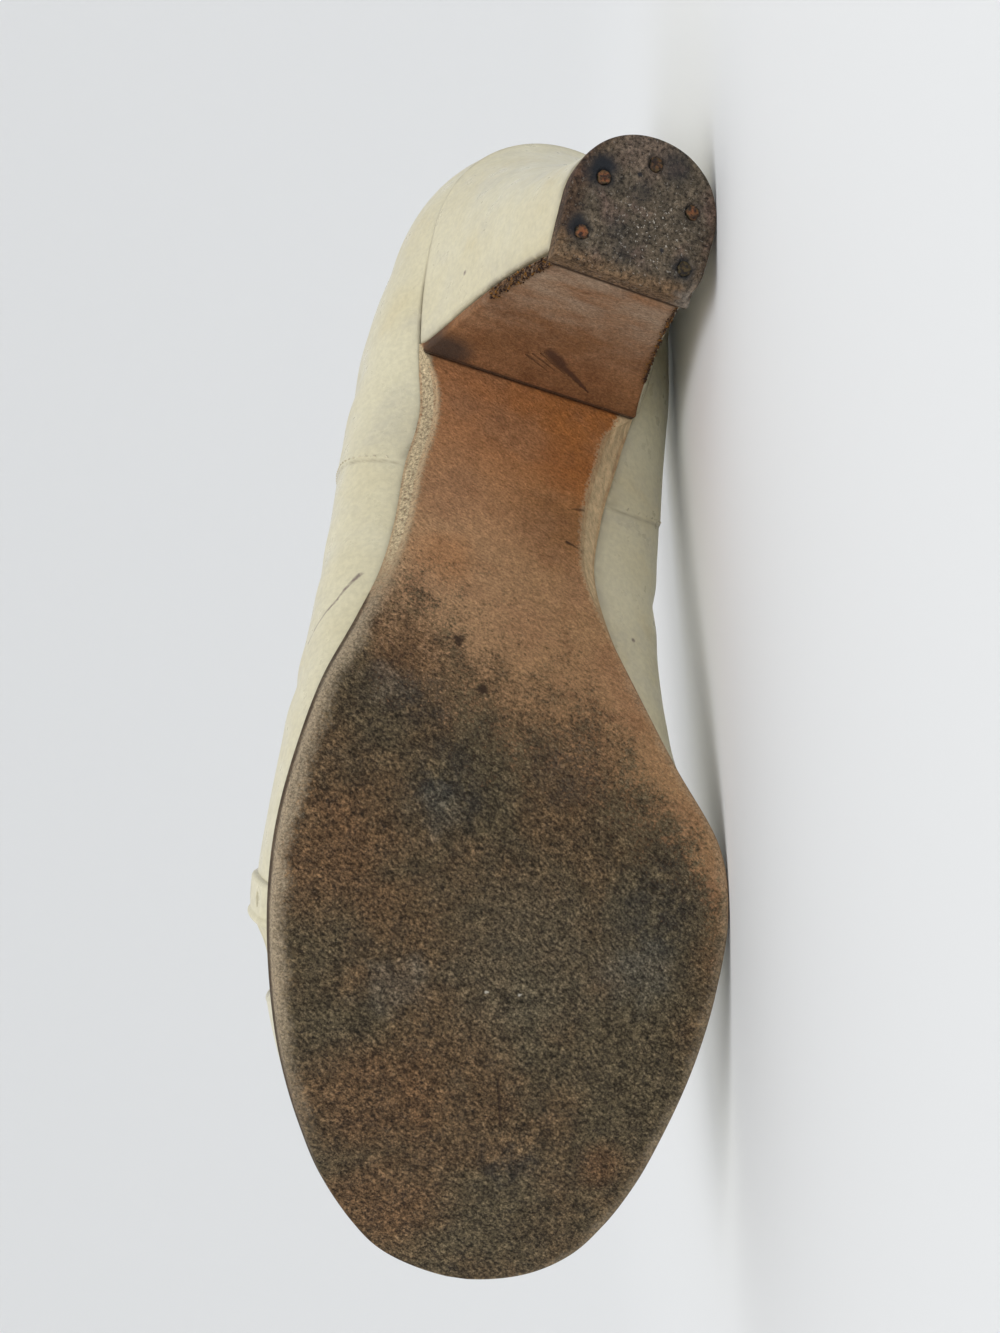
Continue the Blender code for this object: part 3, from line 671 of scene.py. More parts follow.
class Shader:
    """A material's nodes, wired by short calls. Places and sizes are millimetres of the standing shoe."""

    def __init__(self, name, coat=0.0, specular=0.5, metallic=0.0):
        self.material = bpy.data.materials.new(name)
        self.material.use_nodes = True
        self.tree = self.material.node_tree
        self.surface = self.tree.nodes["Principled BSDF"]
        self.surface.inputs["Coat Weight"].default_value = coat
        self.surface.inputs["Coat Roughness"].default_value = 0.3
        self.surface.inputs["Specular IOR Level"].default_value = specular
        self.surface.inputs["Metallic"].default_value = metallic
        self.place = self.node("Mapping", {
            "Vector": self.node("TexCoord", {}, "Object"),
            "Location": LAID.inverted().translation,
            "Rotation": LYING.inverted().to_euler(),
            "Scale": (1 / MM, 1 / MM, 1 / MM),
        })
        self.x, self.y, self.z = self.node("SeparateXYZ", {0: self.place}).node.outputs
        self.normal = None

    def put(self, socket, value):
        if isinstance(value, bpy.types.NodeSocket):
            self.tree.links.new(value, socket)
        elif socket.type == "RGBA":
            socket.default_value = (*value, 1.0)
        else:
            socket.default_value = value

    def node(self, kind, inputs, output=0, **settings):
        """Add a node with its settings and inputs, and return one of its outputs."""
        node = self.tree.nodes.new("ShaderNode" + kind)
        for name, value in settings.items():
            setattr(node, name, value)
        for name, value in inputs.items():
            self.put(node.inputs[name], value)
        return node.outputs[output]

    def vector(self, operation, a, b):
        number = operation in ("DISTANCE", "DOT_PRODUCT")
        return self.node("VectorMath", {0: a, 1: b}, "Value" if number else "Vector", operation=operation)

    def scaled(self, a, factor):
        return self.node("VectorMath", {0: a, "Scale": factor}, operation="SCALE")

    def math(self, operation, a, b):
        return self.node("Math", {0: a, 1: b}, operation=operation)

    def times(self, *values):
        found = values[0]
        for value in values[1:]:
            found = self.math("MULTIPLY", found, value)
        return found

    def plus(self, a, b):
        return self.math("ADD", a, b)

    def without(self, mask):
        return self.math("SUBTRACT", 1.0, mask)

    def most(self, values):
        found = values[0]
        for value in values[1:]:
            found = self.math("MAXIMUM", found, value)
        return found

    def mask(self, name):
        return self.node("Attribute", {}, "Fac", attribute_name=name)

    def fade(self, value, start, end):
        """0 at start and 1 at end, smoothly."""
        inputs = {"Value": value, "From Min": start, "From Max": end}
        return self.node("MapRange", inputs, "Result", interpolation_type="SMOOTHSTEP")

    def level(self, value, start, end, low, high):
        """From low at start to high at end, in a straight line."""
        inputs = {"Value": value, "From Min": start, "From Max": end, "To Min": low, "To Max": high}
        return self.node("MapRange", inputs, "Result")

    def along_grain(self, angle, length):
        """The place, drawn out along a direction across the sole, so that noise there looks combed."""
        inputs = {
            "Vector": self.place,
            "Rotation": (0.0, 0.0, math.radians(angle)),
            "Scale": (length, 1.0, 1.0),
        }
        return self.node("Mapping", inputs, vector_type="TEXTURE")

    def noise(self, size, detail=3.0, roughness=0.55, grain=None, warp=0.0):
        inputs = {
            "Vector": self.along_grain(*grain) if grain else self.place,
            "Scale": 1 / size,
            "Detail": detail,
            "Roughness": roughness,
            "Distortion": warp,
        }
        return self.node("TexNoise", inputs)

    def cell_edges(self, size):
        inputs = {"Vector": self.place, "Scale": 1 / size}
        return self.node("TexVoronoi", inputs, "Distance", feature="DISTANCE_TO_EDGE")

    def mix(self, factor, a, b):
        return self.node("Mix", {0: factor, 6: a, 7: b}, 2, data_type="RGBA")

    def tint(self, colour, mask, strength, other):
        """A colour turned to another one where a mask says so."""
        return self.mix(self.times(mask, strength), colour, other)

    def speckled(self, colour, value, low, high):
        """A colour darkened and lightened by a noise."""
        return self.scaled(colour, self.level(value, 0.35, 0.65, low, high))

    def ragged(self, value, uneven, amount):
        """A value shifted by a noise, by up to half the amount either way."""
        return self.plus(value, self.times(self.plus(uneven, -0.5), amount))

    def blot(self, centre, radius, raggedness=0.35):
        """A soft blot round a place, 1 in its middle."""
        away = self.vector("DISTANCE", self.place, centre)
        away = self.ragged(away, self.noise(radius * 0.8), radius * raggedness * 2)
        return self.fade(away, radius, radius * 0.25)

    def blots(self, rows):
        return self.most([self.blot(*row) for row in rows])

    def line(self, start, end, width, taper=0.0, seen=(1.0, 1.0, 1.0)):
        """A thin mark from one place to another, 1 along its middle, which can run out to a point.

        An axis with 0 in seen does not count, so that the mark lies on a curved surface all along.
        """
        start = Vector(start)
        run = (Vector(end) - start) * Vector(seen)
        away = self.vector("MULTIPLY", self.vector("SUBTRACT", self.place, tuple(start)), seen)
        along = self.vector("DOT_PRODUCT", away, tuple(run / run.length_squared))
        along = self.math("MINIMUM", self.math("MAXIMUM", along, 0.0), 1.0)
        off = self.vector("DISTANCE", away, self.scaled(tuple(run), along))
        off = self.ragged(off, self.noise(2.2), width * 0.8)
        thin = self.level(along, 0.0, 1.0, 1.0, 1.0 - taper)
        return self.fade(self.math("DIVIDE", off, thin), width, width * 0.2)

    def lines(self, rows):
        return self.most([self.times(self.line(*row), strength) for *row, strength in rows])

    def bump(self, height, depth):
        inputs = {"Height": height, "Distance": depth * MM}
        if self.normal is not None:
            inputs["Normal"] = self.normal
        self.normal = self.node("Bump", inputs, "Normal")

    def finish(self, colour, roughness):
        self.put(self.surface.inputs["Base Color"], colour)
        self.put(self.surface.inputs["Roughness"], roughness)
        self.put(self.surface.inputs["Normal"], self.normal)
        return self.material


def leather_grain(s, depth):
    """Fine pores and the soft cells of smooth leather."""
    s.bump(s.fade(s.cell_edges(0.9), 0.0, 0.25), depth)
    s.bump(s.noise(0.35, detail=2.0), depth * 0.8)


def cream_leather(name, scratches, specks):
    """Aged ivory leather: yellowed and greyed in patches, darkened along its edges and seams by grime and
    painted shade.
    """
    s = Shader(name, coat=0.1)
    colour = s.mix(s.fade(s.noise(34.0), 0.36, 0.66), (0.628, 0.580, 0.408), (0.600, 0.540, 0.356))
    smudge = s.fade(s.noise(11.0, detail=6.0, roughness=0.6), 0.48, 0.74)
    colour = s.tint(colour, smudge, 0.5, (0.49, 0.455, 0.355))
    yellowed = s.fade(s.noise(17.0, detail=4.0, warp=0.6), 0.54, 0.74)
    colour = s.tint(colour, yellowed, 0.4, (0.57, 0.475, 0.262))
    colour = s.speckled(colour, s.noise(1.1, detail=4.0), 0.93, 1.06)
    # Grime and painted shade where the mask says: in seams, holes and joints and along the feather edge
    grime_and_shade = s.fade(s.noise(2.2, detail=5.0), 0.22, 0.6)
    colour = s.tint(colour, s.mask("dirt"), grime_and_shade, (0.19, 0.155, 0.10))
    marks = [s.blot(place, radius) for place, radius in specks]
    for start, end, width in scratches:
        scratch = s.line(start, end, width, taper=0.5, seen=(0.0, 1.0, 1.0))
        marks.append(s.times(scratch, s.fade(s.x, -8.0, -14.0)))
    rubbed = s.level(s.noise(1.3), 0.35, 0.6, 0.35, 0.9)
    colour = s.tint(colour, s.most(marks), rubbed, (0.15, 0.10, 0.09))
    leather_grain(s, 0.007)
    s.bump(s.noise(7.0, detail=0.6), 0.12)
    return s.finish(colour, s.fade(s.noise(5.0, detail=4.0), -0.45, 1.9))


def lining_leather():
    s = Shader("lining_leather")
    colour = s.mix(s.fade(s.noise(18.0), 0.35, 0.7), (0.60, 0.50, 0.35), (0.50, 0.40, 0.27))
    stains = s.fade(s.noise(5.0, detail=5.0), 0.52, 0.8)
    colour = s.tint(colour, stains, 0.45, (0.33, 0.25, 0.16))
    leather_grain(s, 0.04)
    return s.finish(colour, s.fade(s.noise(4.0), -0.9, 1.3))


def insole_leather():
    """The sock inside the shoe, darkened where heel and ball of a foot have pressed."""
    s = Shader("insole_leather")
    colour = s.mix(s.fade(s.noise(20.0), 0.35, 0.7), (0.56, 0.45, 0.29), (0.48, 0.37, 0.23))
    colour = s.tint(colour, s.blots(FOOT_MARKS), 0.45, (0.33, 0.24, 0.15))
    leather_grain(s, 0.05)
    return s.finish(colour, s.fade(s.noise(4.0), -1.2, 1.2))


class SoleGrain:
    """The noises that all parts of the outsole share, from fine to coarse."""

    def __init__(self, s):
        self.grit = s.noise(0.45, detail=2.0, roughness=0.8)
        self.fibre = s.noise(0.5, detail=3.0, roughness=0.7, grain=(30.0, 2.4))
        self.speckle = s.noise(0.66, detail=4.0, roughness=0.8)
        self.clumps = s.noise(2.8, detail=5.0, roughness=0.72)
        self.blotches = s.noise(7.0, detail=5.0, roughness=0.65)
        self.patches = s.noise(24.0, detail=4.0, warp=0.5)


def sole_leather():
    """The outsole: tan at the waist, dark and mottled where it was walked on, pale at its rims."""
    s = Shader("worn_sole_leather", specular=0.22)
    g = SoleGrain(s)
    colour = s.mix(trodden_mask(s, g), waist_colour(s, g), trodden_colour(s, g))
    colour = pale_rims(s, g, colour)
    # The cut edge of the forepart is burnished dark, and scuffed away along its lower rim
    climbed = s.ragged(s.mask("wall"), g.speckle, 0.5)
    burnished = s.times(s.fade(climbed, 0.3, 0.6), s.fade(g.blotches, 0.78, 0.4))
    colour = s.tint(colour, burnished, 0.85, (0.055, 0.035, 0.022))
    colour = s.mix(s.mask("flap"), colour, breast_colour(s, g))
    glue = s.times(s.mask("glue"), s.fade(g.speckle, 0.36, 0.52))
    burnt = s.mix(s.fade(g.grit, 0.5, 0.66), (0.028, 0.015, 0.008), (0.20, 0.088, 0.022))
    colour = s.tint(colour, glue, 0.95, burnt)
    # Slash on the breast with its scratches, cuts at the waist, a crack near the toe, the fold, spots
    slash = s.lines(SLASH)
    scratches = s.lines(SLASH_SCRATCHES)
    slashed = s.most([slash, s.times(scratches, 0.65)])
    colour = s.tint(colour, slashed, 0.85, (0.060, 0.026, 0.015))
    # The fold is painted dark along its crease
    cuts = s.most([s.lines(CUTS), s.mask("fold"), s.blots(DARK_SPOTS)])
    colour = s.tint(colour, cuts, 0.88, (0.035, 0.020, 0.012))
    fleck_strength = s.level(g.speckle, 0.4, 0.6, 0.55, 0.95)
    colour = s.tint(colour, s.lines(WHITE_FLECKS), fleck_strength, (0.54, 0.50, 0.42))
    s.bump(g.blotches, 0.25)
    s.bump(g.clumps, 0.2)
    s.bump(g.fibre, 0.2)
    s.bump(g.speckle, 0.22)
    s.bump(s.without(s.most([cuts, slash, scratches])), 0.22)
    return s.finish(colour, s.fade(s.noise(3.0, detail=4.0), -1.0, 0.9))


def trodden_mask(s, g):
    """The trodden part starts in flecks in front of the waist, later on the medial side."""
    start = s.plus(s.y, s.times(s.x, -0.34))
    beside = s.times(s.fade(s.mask("edge"), 10.0, 2.0), s.fade(s.x, 8.0, 18.0))
    start = s.plus(start, s.times(beside, -15.0))
    start = s.ragged(start, g.blotches, 34.0)
    start = s.ragged(start, g.clumps, 46.0)
    start = s.ragged(start, g.speckle, 84.0)
    return s.fade(start, 106.0, 130.0)


def waist_colour(s, g):
    """Tan leather, redder at the heel and pinker on its lateral side, combed by short slanting fibres, with
    painted shade on the medial mid-waist.
    """
    medial = s.fade(s.x, -18.0, 14.0)
    red = s.mix(medial, (0.364, 0.161, 0.067), (0.393, 0.150, 0.041))
    brown = s.mix(medial, (0.420, 0.250, 0.132), (0.340, 0.194, 0.094))
    tan = s.mix(s.fade(s.y, 62.0, 104.0), red, brown)
    # Painted shade on the medial mid-waist
    tan = s.tint(tan, s.blot((9.0, 88.0, 34.5), 13.0), 0.65, (0.215, 0.100, 0.036))
    tan = s.tint(tan, s.fade(s.noise(16.0), 0.42, 0.66), 0.5, (0.315, 0.165, 0.085))
    tan = s.tint(tan, s.fade(g.blotches, 0.5, 0.7), 0.35, (0.255, 0.118, 0.055))
    faint = s.times(s.blot((-14.0, 100.0, 25.0), 9.0), 0.6)
    orange = s.most([s.blot((10.7, 74.0, 43.5), 11.0), faint])
    tan = s.tint(tan, orange, 0.6, (0.32, 0.112, 0.027))
    tan = s.speckled(tan, g.clumps, 0.88, 1.13)
    tan = s.speckled(tan, g.fibre, 0.74, 1.29)
    return s.speckled(tan, g.grit, 0.8, 1.18)


def trodden_colour(s, g):
    """Dark worn leather: brown, olive and black with a grey bloom, finely flecked."""
    dark = s.mix(s.fade(g.patches, 0.36, 0.64), (0.080, 0.061, 0.034), (0.100, 0.062, 0.031))
    dark = s.tint(dark, s.fade(g.blotches, 0.48, 0.66), 0.55, (0.062, 0.046, 0.027))
    dark = s.tint(dark, s.blots(BROWNER), 0.55, (0.132, 0.066, 0.029))
    dark = s.tint(dark, s.blots(GREYER), 0.5, (0.090, 0.077, 0.050))
    blackened = s.times(s.blots(BLACKENED), s.fade(g.clumps, 0.66, 0.38))
    dark = s.tint(dark, blackened, 0.65, (0.033, 0.030, 0.026))
    dark = s.tint(dark, s.blots(BLOOM), 0.3, (0.098, 0.098, 0.084))
    dark = s.speckled(dark, g.clumps, 0.62, 1.42)
    dark = s.speckled(dark, g.fibre, 0.3, 1.78)
    dark = s.speckled(dark, g.speckle, 0.18, 1.92)
    dark = s.speckled(dark, g.grit, 0.55, 1.25)
    dark = s.tint(dark, s.fade(g.grit, 0.6, 0.7), 0.35, (0.27, 0.21, 0.135))
    holes = s.fade(s.noise(1.3, detail=3.0, roughness=0.75), 0.40, 0.31)
    return s.tint(dark, holes, 0.85, (0.017, 0.012, 0.009))


def pale_rims(s, g, colour):
    """Scuffed rims of the forepart and the pale, fuzzy bevels of the waist."""
    rim = s.ragged(s.mask("edge"), g.speckle, 5.5)
    worn = s.ragged(rim, g.blotches, 5.0)
    at_waist = s.fade(s.y, 116.0, 98.0)
    off_flap = s.without(s.mask("flap"))
    lateral_side = s.fade(s.x, -4.0, -14.0)
    medial_side = s.fade(s.x, 8.0, 18.0)
    lateral_run = s.times(s.fade(s.y, 100.0, 120.0), s.fade(s.y, 216.0, 176.0))
    lateral = s.times(s.fade(worn, 3.4, 0.4), lateral_side, lateral_run)
    medial = s.times(s.fade(worn, 2.8, 0.0), medial_side, s.fade(s.y, 104.0, 122.0))
    scuff = s.most([s.times(lateral, 0.75), s.times(medial, 0.38)])
    scuff_colour = s.speckled((0.39, 0.31, 0.21), g.grit, 0.55, 1.45)
    colour = s.tint(colour, scuff, s.level(s.mask("wall"), 0.25, 0.65, 1.0, 0.2), scuff_colour)
    spill = s.times(s.fade(rim, 1.3, 0.0), at_waist, off_flap)
    # Beside the fold the pale edge keeps its width where the bevel runs out
    reach = s.times(s.level(s.y, 58.0, 63.0, 1.0, 0.0), s.level(medial_side, 0.0, 1.0, 2.0, 4.2))
    corner = s.fade(s.math("SUBTRACT", s.plus(rim, 0.4), reach), 0.5, -0.5)
    corner = s.times(corner, s.fade(s.y, 64.0, 62.0), off_flap)
    bevel = s.most([s.mask("bevel"), s.times(spill, 0.75), corner])
    streaks = s.noise(1.2, detail=4.0, roughness=0.65, grain=(97.0, 5.0))
    fuzzy = s.speckled((0.46, 0.365, 0.228), g.speckle, 0.3, 1.65)
    shaved = s.speckled((0.60, 0.45, 0.265), streaks, 0.75, 1.25)
    edge_colour = s.mix(medial_side, fuzzy, shaved)
    return s.tint(colour, bevel, s.fade(g.speckle, 0.28, 0.42), edge_colour)


def breast_colour(s, g):
    """The flap on the heel breast: red-brown at the fold, with a painted grey sheen in streaks towards the
    lift.
    """
    streaks = s.noise(7.0, detail=5.0, roughness=0.58, grain=(8.0, 2.2))
    breast = s.mix(s.fade(g.blotches, 0.4, 0.64), (0.255, 0.120, 0.052), (0.195, 0.084, 0.034))
    # A painted grey sheen in slanting streaks, strongest towards the lift
    grey_sheen = s.times(s.fade(s.z, 44.0, 16.0), s.fade(streaks, 0.2, 0.7))
    breast = s.tint(breast, grey_sheen, 0.72, (0.365, 0.285, 0.205))
    brown = s.times(s.fade(s.z, 20.0, 34.0), s.fade(streaks, 0.62, 0.4))
    breast = s.tint(breast, brown, 0.5, (0.16, 0.070, 0.026))
    breast = s.speckled(breast, g.fibre, 0.76, 1.25)
    breast = s.speckled(breast, g.speckle, 0.8, 1.21)
    return s.tint(breast, s.blot((-20.5, 56.6, 48.6), 7.5), 0.85, (0.050, 0.034, 0.026))


def lift_leather():
    """The worn lift: grey and gritty in the middle, rusty brown at its lateral and front rims."""
    s = Shader("worn_lift", specular=0.25)
    patches = s.noise(7.0, detail=5.0, roughness=0.62)
    tints = s.noise(9.0, detail=3.0, warp=0.4)
    clumps = s.noise(2.2, detail=4.0, roughness=0.7)
    grit = s.noise(0.85, detail=4.0, roughness=0.8)
    colour = s.mix(s.fade(patches, 0.36, 0.64), (0.074, 0.059, 0.042), (0.114, 0.088, 0.060))
    colour = s.tint(colour, s.fade(tints, 0.5, 0.68), 0.6, (0.125, 0.078, 0.064))
    rim = s.fade(s.ragged(s.mask("edge"), patches, 7.0), 4.2, 0.2)
    medial_rust = s.times(s.fade(s.x, 9.0, 13.0), 0.5)
    rusty = s.most([s.fade(s.x, -5.0, -13.0), s.fade(s.y, 41.0, 46.0), medial_rust])
    rust = s.mix(s.fade(s.y, 40.0, 45.0), (0.056, 0.028, 0.015), (0.150, 0.088, 0.044))
    colour = s.tint(colour, s.times(rim, rusty), 0.75, rust)
    colour = s.tint(colour, s.blot((-2.0, 23.5, 0.0), 7.5), 0.5, (0.150, 0.105, 0.080))
    colour = s.speckled(colour, clumps, 0.66, 1.36)
    colour = s.speckled(colour, grit, 0.15, 1.85)
    white = s.noise(0.8, detail=2.0, roughness=0.9)
    worn = s.plus(s.times(s.blot((2.5, 37.5, 0.0), 11.0), 0.7), 0.2)
    colour = s.tint(colour, s.fade(white, 0.6, 0.69), worn, (0.52, 0.475, 0.41))
    pits = s.fade(s.noise(1.5, detail=3.0, roughness=0.7), 0.37, 0.29)
    colour = s.tint(colour, pits, 0.85, (0.020, 0.017, 0.015))
    stains = [s.times(s.blot((x, y, 0.0), radius), strength) for x, y, radius, strength in LIFT_STAINS]
    colour = s.mix(s.most(stains), colour, (0.017, 0.019, 0.023))
    chipped = s.speckled((0.27, 0.235, 0.195), grit, 0.55, 1.4)
    colour = s.tint(colour, s.mask("chip"), 0.8, chipped)
    # Dark old glue shows where the lift meets the heel
    colour = s.tint(colour, s.fade(s.z, 4.5, 5.3), 0.85, (0.030, 0.016, 0.009))
    s.bump(patches, 0.3)
    s.bump(grit, 0.35)
    return s.finish(colour, s.fade(patches, -1.4, 1.0))


def rusty_steel():
    """Rust from bright orange to nearly black, as each nail's own mask says."""
    s = Shader("rusty_steel", metallic=0.25)
    flakes = s.noise(0.8, detail=5.0, roughness=0.75)
    flaked = s.fade(flakes, 0.42, 0.58)
    bright = s.mix(flaked, (0.29, 0.098, 0.035), (0.045, 0.022, 0.015))
    dull = s.mix(flaked, (0.085, 0.062, 0.024), (0.024, 0.019, 0.016))
    colour = s.mix(s.mask("rust"), dull, bright)
    s.bump(flakes, 0.3)
    return s.finish(colour, s.fade(flakes, -0.9, 1.1))


def dried_glue():
    s = Shader("dried_glue", specular=0.3)
    amber = s.fade(s.noise(1.1, detail=4.0), 0.46, 0.62)
    colour = s.mix(amber, (0.028, 0.012, 0.006), (0.24, 0.105, 0.016))
    s.bump(s.noise(0.4), 0.12)
    return s.finish(colour, s.fade(s.noise(1.0), -0.8, 1.0))


def thread():
    s = Shader("seam_thread")
    clean = s.fade(s.noise(2.4, detail=4.0), 0.36, 0.62)
    colour = s.mix(clean, (0.44, 0.39, 0.28), (0.64, 0.58, 0.43))
    s.bump(s.noise(0.2), 0.05)
    return s.finish(colour, s.fade(s.noise(1.0), -1.0, 1.1))


# Upper

def seam_y(side, z):
    y, height, lean = SEAMS[side]
    return y + lean * (z - height)


def on_side(p, side):
    """Which places of the upper lie clearly on one side of its crest line."""
    return side * (p[:, 0] - LAST.at("crest_x", p[:, 1])) > SIDE_MARGIN


def trough(flat, start, end, deep, width):
    """Depth of one crease at places on a plane: a trough with a low ridge beside it."""
    run = np.subtract(end, start)
    t = np.clip((flat - start) @ run / (run @ run), 0.0, 1.0)
    away = np.linalg.norm(flat - start - t[:, None] * run, axis=1) / width
    taper = np.sin(math.pi * np.clip(t, 0.06, 0.94))
    return deep * taper * (np.exp(-away ** 2) - CREASE_RIDGE * np.exp(-(away - CREASE_RIDGE_PLACE) ** 2))


def crease_depth(p):
    """How far the leather sinks at a place of the upper."""
    depth = np.zeros(len(p))
    high = smoothstep((p[:, 2] - base_z(p[:, 1]) - CREASE_FREE_HEIGHT) / CREASE_BLEND)
    for x0, y0, x1, y1, deep, width in VAMP_CREASES:
        depth += high * trough(p[:, :2], (x0, y0), (x1, y1), deep, width)
    for side, y0, z0, y1, z1, deep, width in SIDE_CREASES:
        depth += on_side(p, side) * trough(p[:, 1:], (y0, z0), (y1, z1), deep, width)
    return depth


def seam_lap(p):
    """The rear quarter lies a little proud of the front one at each side seam."""
    lap = np.zeros(len(p))
    for side in SIDES:
        behind = seam_y(side, p[:, 2]) - p[:, 1]
        proud = SEAM_LAP * smoothstep(behind / SEAM_BLEND) * smoothstep(1 - behind / SEAM_RUN_OUT)
        lap += on_side(p, side) * proud
    return lap


def shell_dirt(p):
    """Grime and painted shade in the upper's side seams and along its feather edge."""
    over_base = p[:, 2] - base_z(np.maximum(p[:, 1], 1.0))
    dirt = np.clip(1.0 - over_base / FEATHER_DIRT_AND_SHADE_HEIGHT, 0.0, 1.0) * FEATHER_DIRT_AND_SHADE
    for side in SIDES:
        off = np.abs(p[:, 1] - seam_y(side, p[:, 2]))
        in_seam = SEAM_DIRT_AND_SHADE * np.exp(-(off / SEAM_DIRT_AND_SHADE_WIDTH) ** 2)
        dirt = np.maximum(dirt, on_side(p, side) * in_seam)
    return dirt


def window_value(y, z):
    """Under 0 inside the leaf-shaped cut-out."""
    up = (z - base_z(WINDOW_Y) - GAP - WINDOW_SILL) / WINDOW_HEIGHT
    if not 0.0 < up < 1.0:
        return 1.0
    roundness = WINDOW_FRONT_ROUNDNESS if y > WINDOW_Y else WINDOW_BACK_ROUNDNESS
    half = WINDOW_HALF * (2 * math.sqrt(up * (1 - up))) ** roundness
    return (abs(y - WINDOW_Y) - half) / WINDOW_HALF


def outline_crossing(start, end):
    """How far along an edge, from 0 to 1, the outline of the cut-out crosses it."""
    inside = window_value(start.y, start.z) < 0
    near, far = 0.0, 1.0
    for _ in range(14):
        middle = (near + far) / 2
        place = start.lerp(end, middle)
        if (window_value(place.y, place.z) < 0) == inside:
            near = middle
        else:
            far = middle
    return (near + far) / 2


def cut_windows(bm):
    """Cut both side openings along their outlines, and return the edge of each as a closed path."""
    value = {v: window_value(v.co.y, v.co.z) for v in bm.verts}
    for edge in list(bm.edges):
        a, b = edge.verts
        if value[a] * value[b] < 0:
            _, middle = bmesh.utils.edge_split(edge, a, outline_crossing(a.co, b.co))
            value[middle] = 0.0
    for face in list(bm.faces):
        on_line = [v for v in face.verts if value[v] == 0.0]
        if len(on_line) == 2:
            bmesh.utils.face_split(face, on_line[0], on_line[1])
    inside = [f for f in bm.faces if min(value[v] for v in f.verts) < 0]
    bmesh.ops.delete(bm, geom=inside, context="FACES")
    bm.normal_update()
    rims = {side: [] for side in SIDES}
    for v in bm.verts:
        if value.get(v) == 0.0 and v.is_boundary:
            rims[LATERAL if v.co.x < LAST.at("crest_x", v.co.y) else MEDIAL].append(v)
    middle_z = base_z(WINDOW_Y) + GAP + WINDOW_SILL + WINDOW_HEIGHT / 2
    for verts in rims.values():
        verts.sort(key=lambda v: math.atan2(v.co.z - middle_z, v.co.y - WINDOW_Y))
    return {side: [tuple(v.co - v.normal * WALL / 2) for v in verts] for side, verts in rims.items()}


def quarter_stations(side):
    """Stations from the throat to the heel, close together at the throat and at the side seam."""
    span = THROAT_Y - HEEL_CENTRE_Y
    coarse = THROAT_Y - span * (np.arange(1, QUARTER_COLUMNS + 1) / QUARTER_COLUMNS) ** QUARTER_BUNCHING
    start, end = SEAMS[side][0] + np.array(SEAM_ZONE)
    away = [y for y in coarse if not start - SEAM_ZONE_MARGIN < y < end]
    return sorted(np.concatenate((away, np.arange(start, end, SEAM_STEP))), reverse=True)


def shell_grid():
    """Columns of the wall, from the lateral side of the peep toe round the heel to the medial side."""
    low = np.linspace(0, LOWER_ROWS, SHELL_LOWER_POINTS)
    high = np.linspace(LOWER_ROWS, ALL_ROWS, SHELL_UPPER_POINTS)
    rows = np.concatenate((low, high[1:]))
    vamp = np.linspace(PEEP_FEATHER_Y, THROAT_Y, VAMP_COLUMNS)
    columns = [closed_column(y, LATERAL, rows) for y in vamp]
    columns += [open_column(y, LATERAL, rows) for y in quarter_stations(LATERAL)]
    columns += [counter_column(math.pi * i / COUNTER_COLUMNS, rows) for i in range(1, COUNTER_COLUMNS)]
    columns += [open_column(y, MEDIAL, rows) for y in reversed(quarter_stations(MEDIAL))]
    columns += [closed_column(y, MEDIAL, rows) for y in reversed(vamp)]
    return np.array(columns)


def shell_surface(grid):
    """The outer face of the wall, with its normals outward."""
    bm = bmesh.new()
    verts = [[bm.verts.new(p) for p in column] for column in grid]
    for near, far in zip(verts[:-1], verts[1:]):
        for j in range(len(near) - 1):
            bm.faces.new((near[j], far[j], far[j + 1], near[j + 1]))
    bmesh.ops.remove_doubles(bm, verts=bm.verts, dist=WELD)
    bmesh.ops.dissolve_degenerate(bm, dist=WELD / 2, edges=bm.edges)
    bmesh.ops.recalc_face_normals(bm, faces=bm.faces)
    back = min(bm.faces, key=lambda f: f.calc_center_median().y)
    if back.normal.y > 0:
        bmesh.ops.reverse_faces(bm, faces=bm.faces)
    bm.normal_update()
    return bm


def make_upper():
    """The hollow leather shell, with creases, lapped side seams, open cut-outs and a lining inside."""
    grid = shell_grid()
    bm = shell_surface(grid)
    places = np.array([v.co for v in bm.verts])
    for v, out in zip(bm.verts, seam_lap(places) - crease_depth(places)):
        v.co += v.normal * out
    bm.normal_update()
    tree = BVHTree.FromBMesh(bm)
    windows = cut_windows(bm)
    dirt = shell_dirt(np.array([v.co for v in bm.verts]))
    mesh = bpy.data.meshes.new("upper_shell")
    bm.to_mesh(mesh)
    bm.free()
    finished(mesh, [CREAM, LINING], {"dirt": dirt})
    shell = dress("upper_shell", mesh, ["upper"])
    wall = shell.modifiers.new("wall", "SOLIDIFY")
    wall.thickness = WALL * MM
    wall.offset = -1.0
    wall.material_offset = 1
    collar = grid[VAMP_COLUMNS - 1:-VAMP_COLUMNS, -1]
    peep = np.concatenate((grid[0], grid[-1][::-1][1:]))
    return tree, collar, peep, windows


def make_rolls(tree, collar, peep, windows):
    """Leather turned in over every free edge of the shell."""
    def mid_wall(path):
        found = []
        for p in path:
            place, normal, _, _ = tree.find_nearest(Vector(p))
            found.append(place - normal * WALL / 2)
        return found

    toe = mid_wall(peep)
    sunk = Vector((0.0, 0.0, -ROLL_SINK))
    paths = {
        "collar_roll": (mid_wall(collar), True),
        "peep_toe_roll": ([toe[0] + sunk, *toe, toe[-1] + sunk], False),
        "cutout_roll_lateral": (windows[LATERAL], True),
        "cutout_roll_medial": (windows[MEDIAL], True),
    }
    for name, (path, closed) in paths.items():
        points, faces = tube(evened(path, ROLL_STEP, closed), ROLL_RADIUS, ROLL_SIDES, closed)
        dirt = np.full(len(points), ROLL_DIRT)
        skinned(name, points, faces, CREAM, "cream_leather", dirt=dirt)


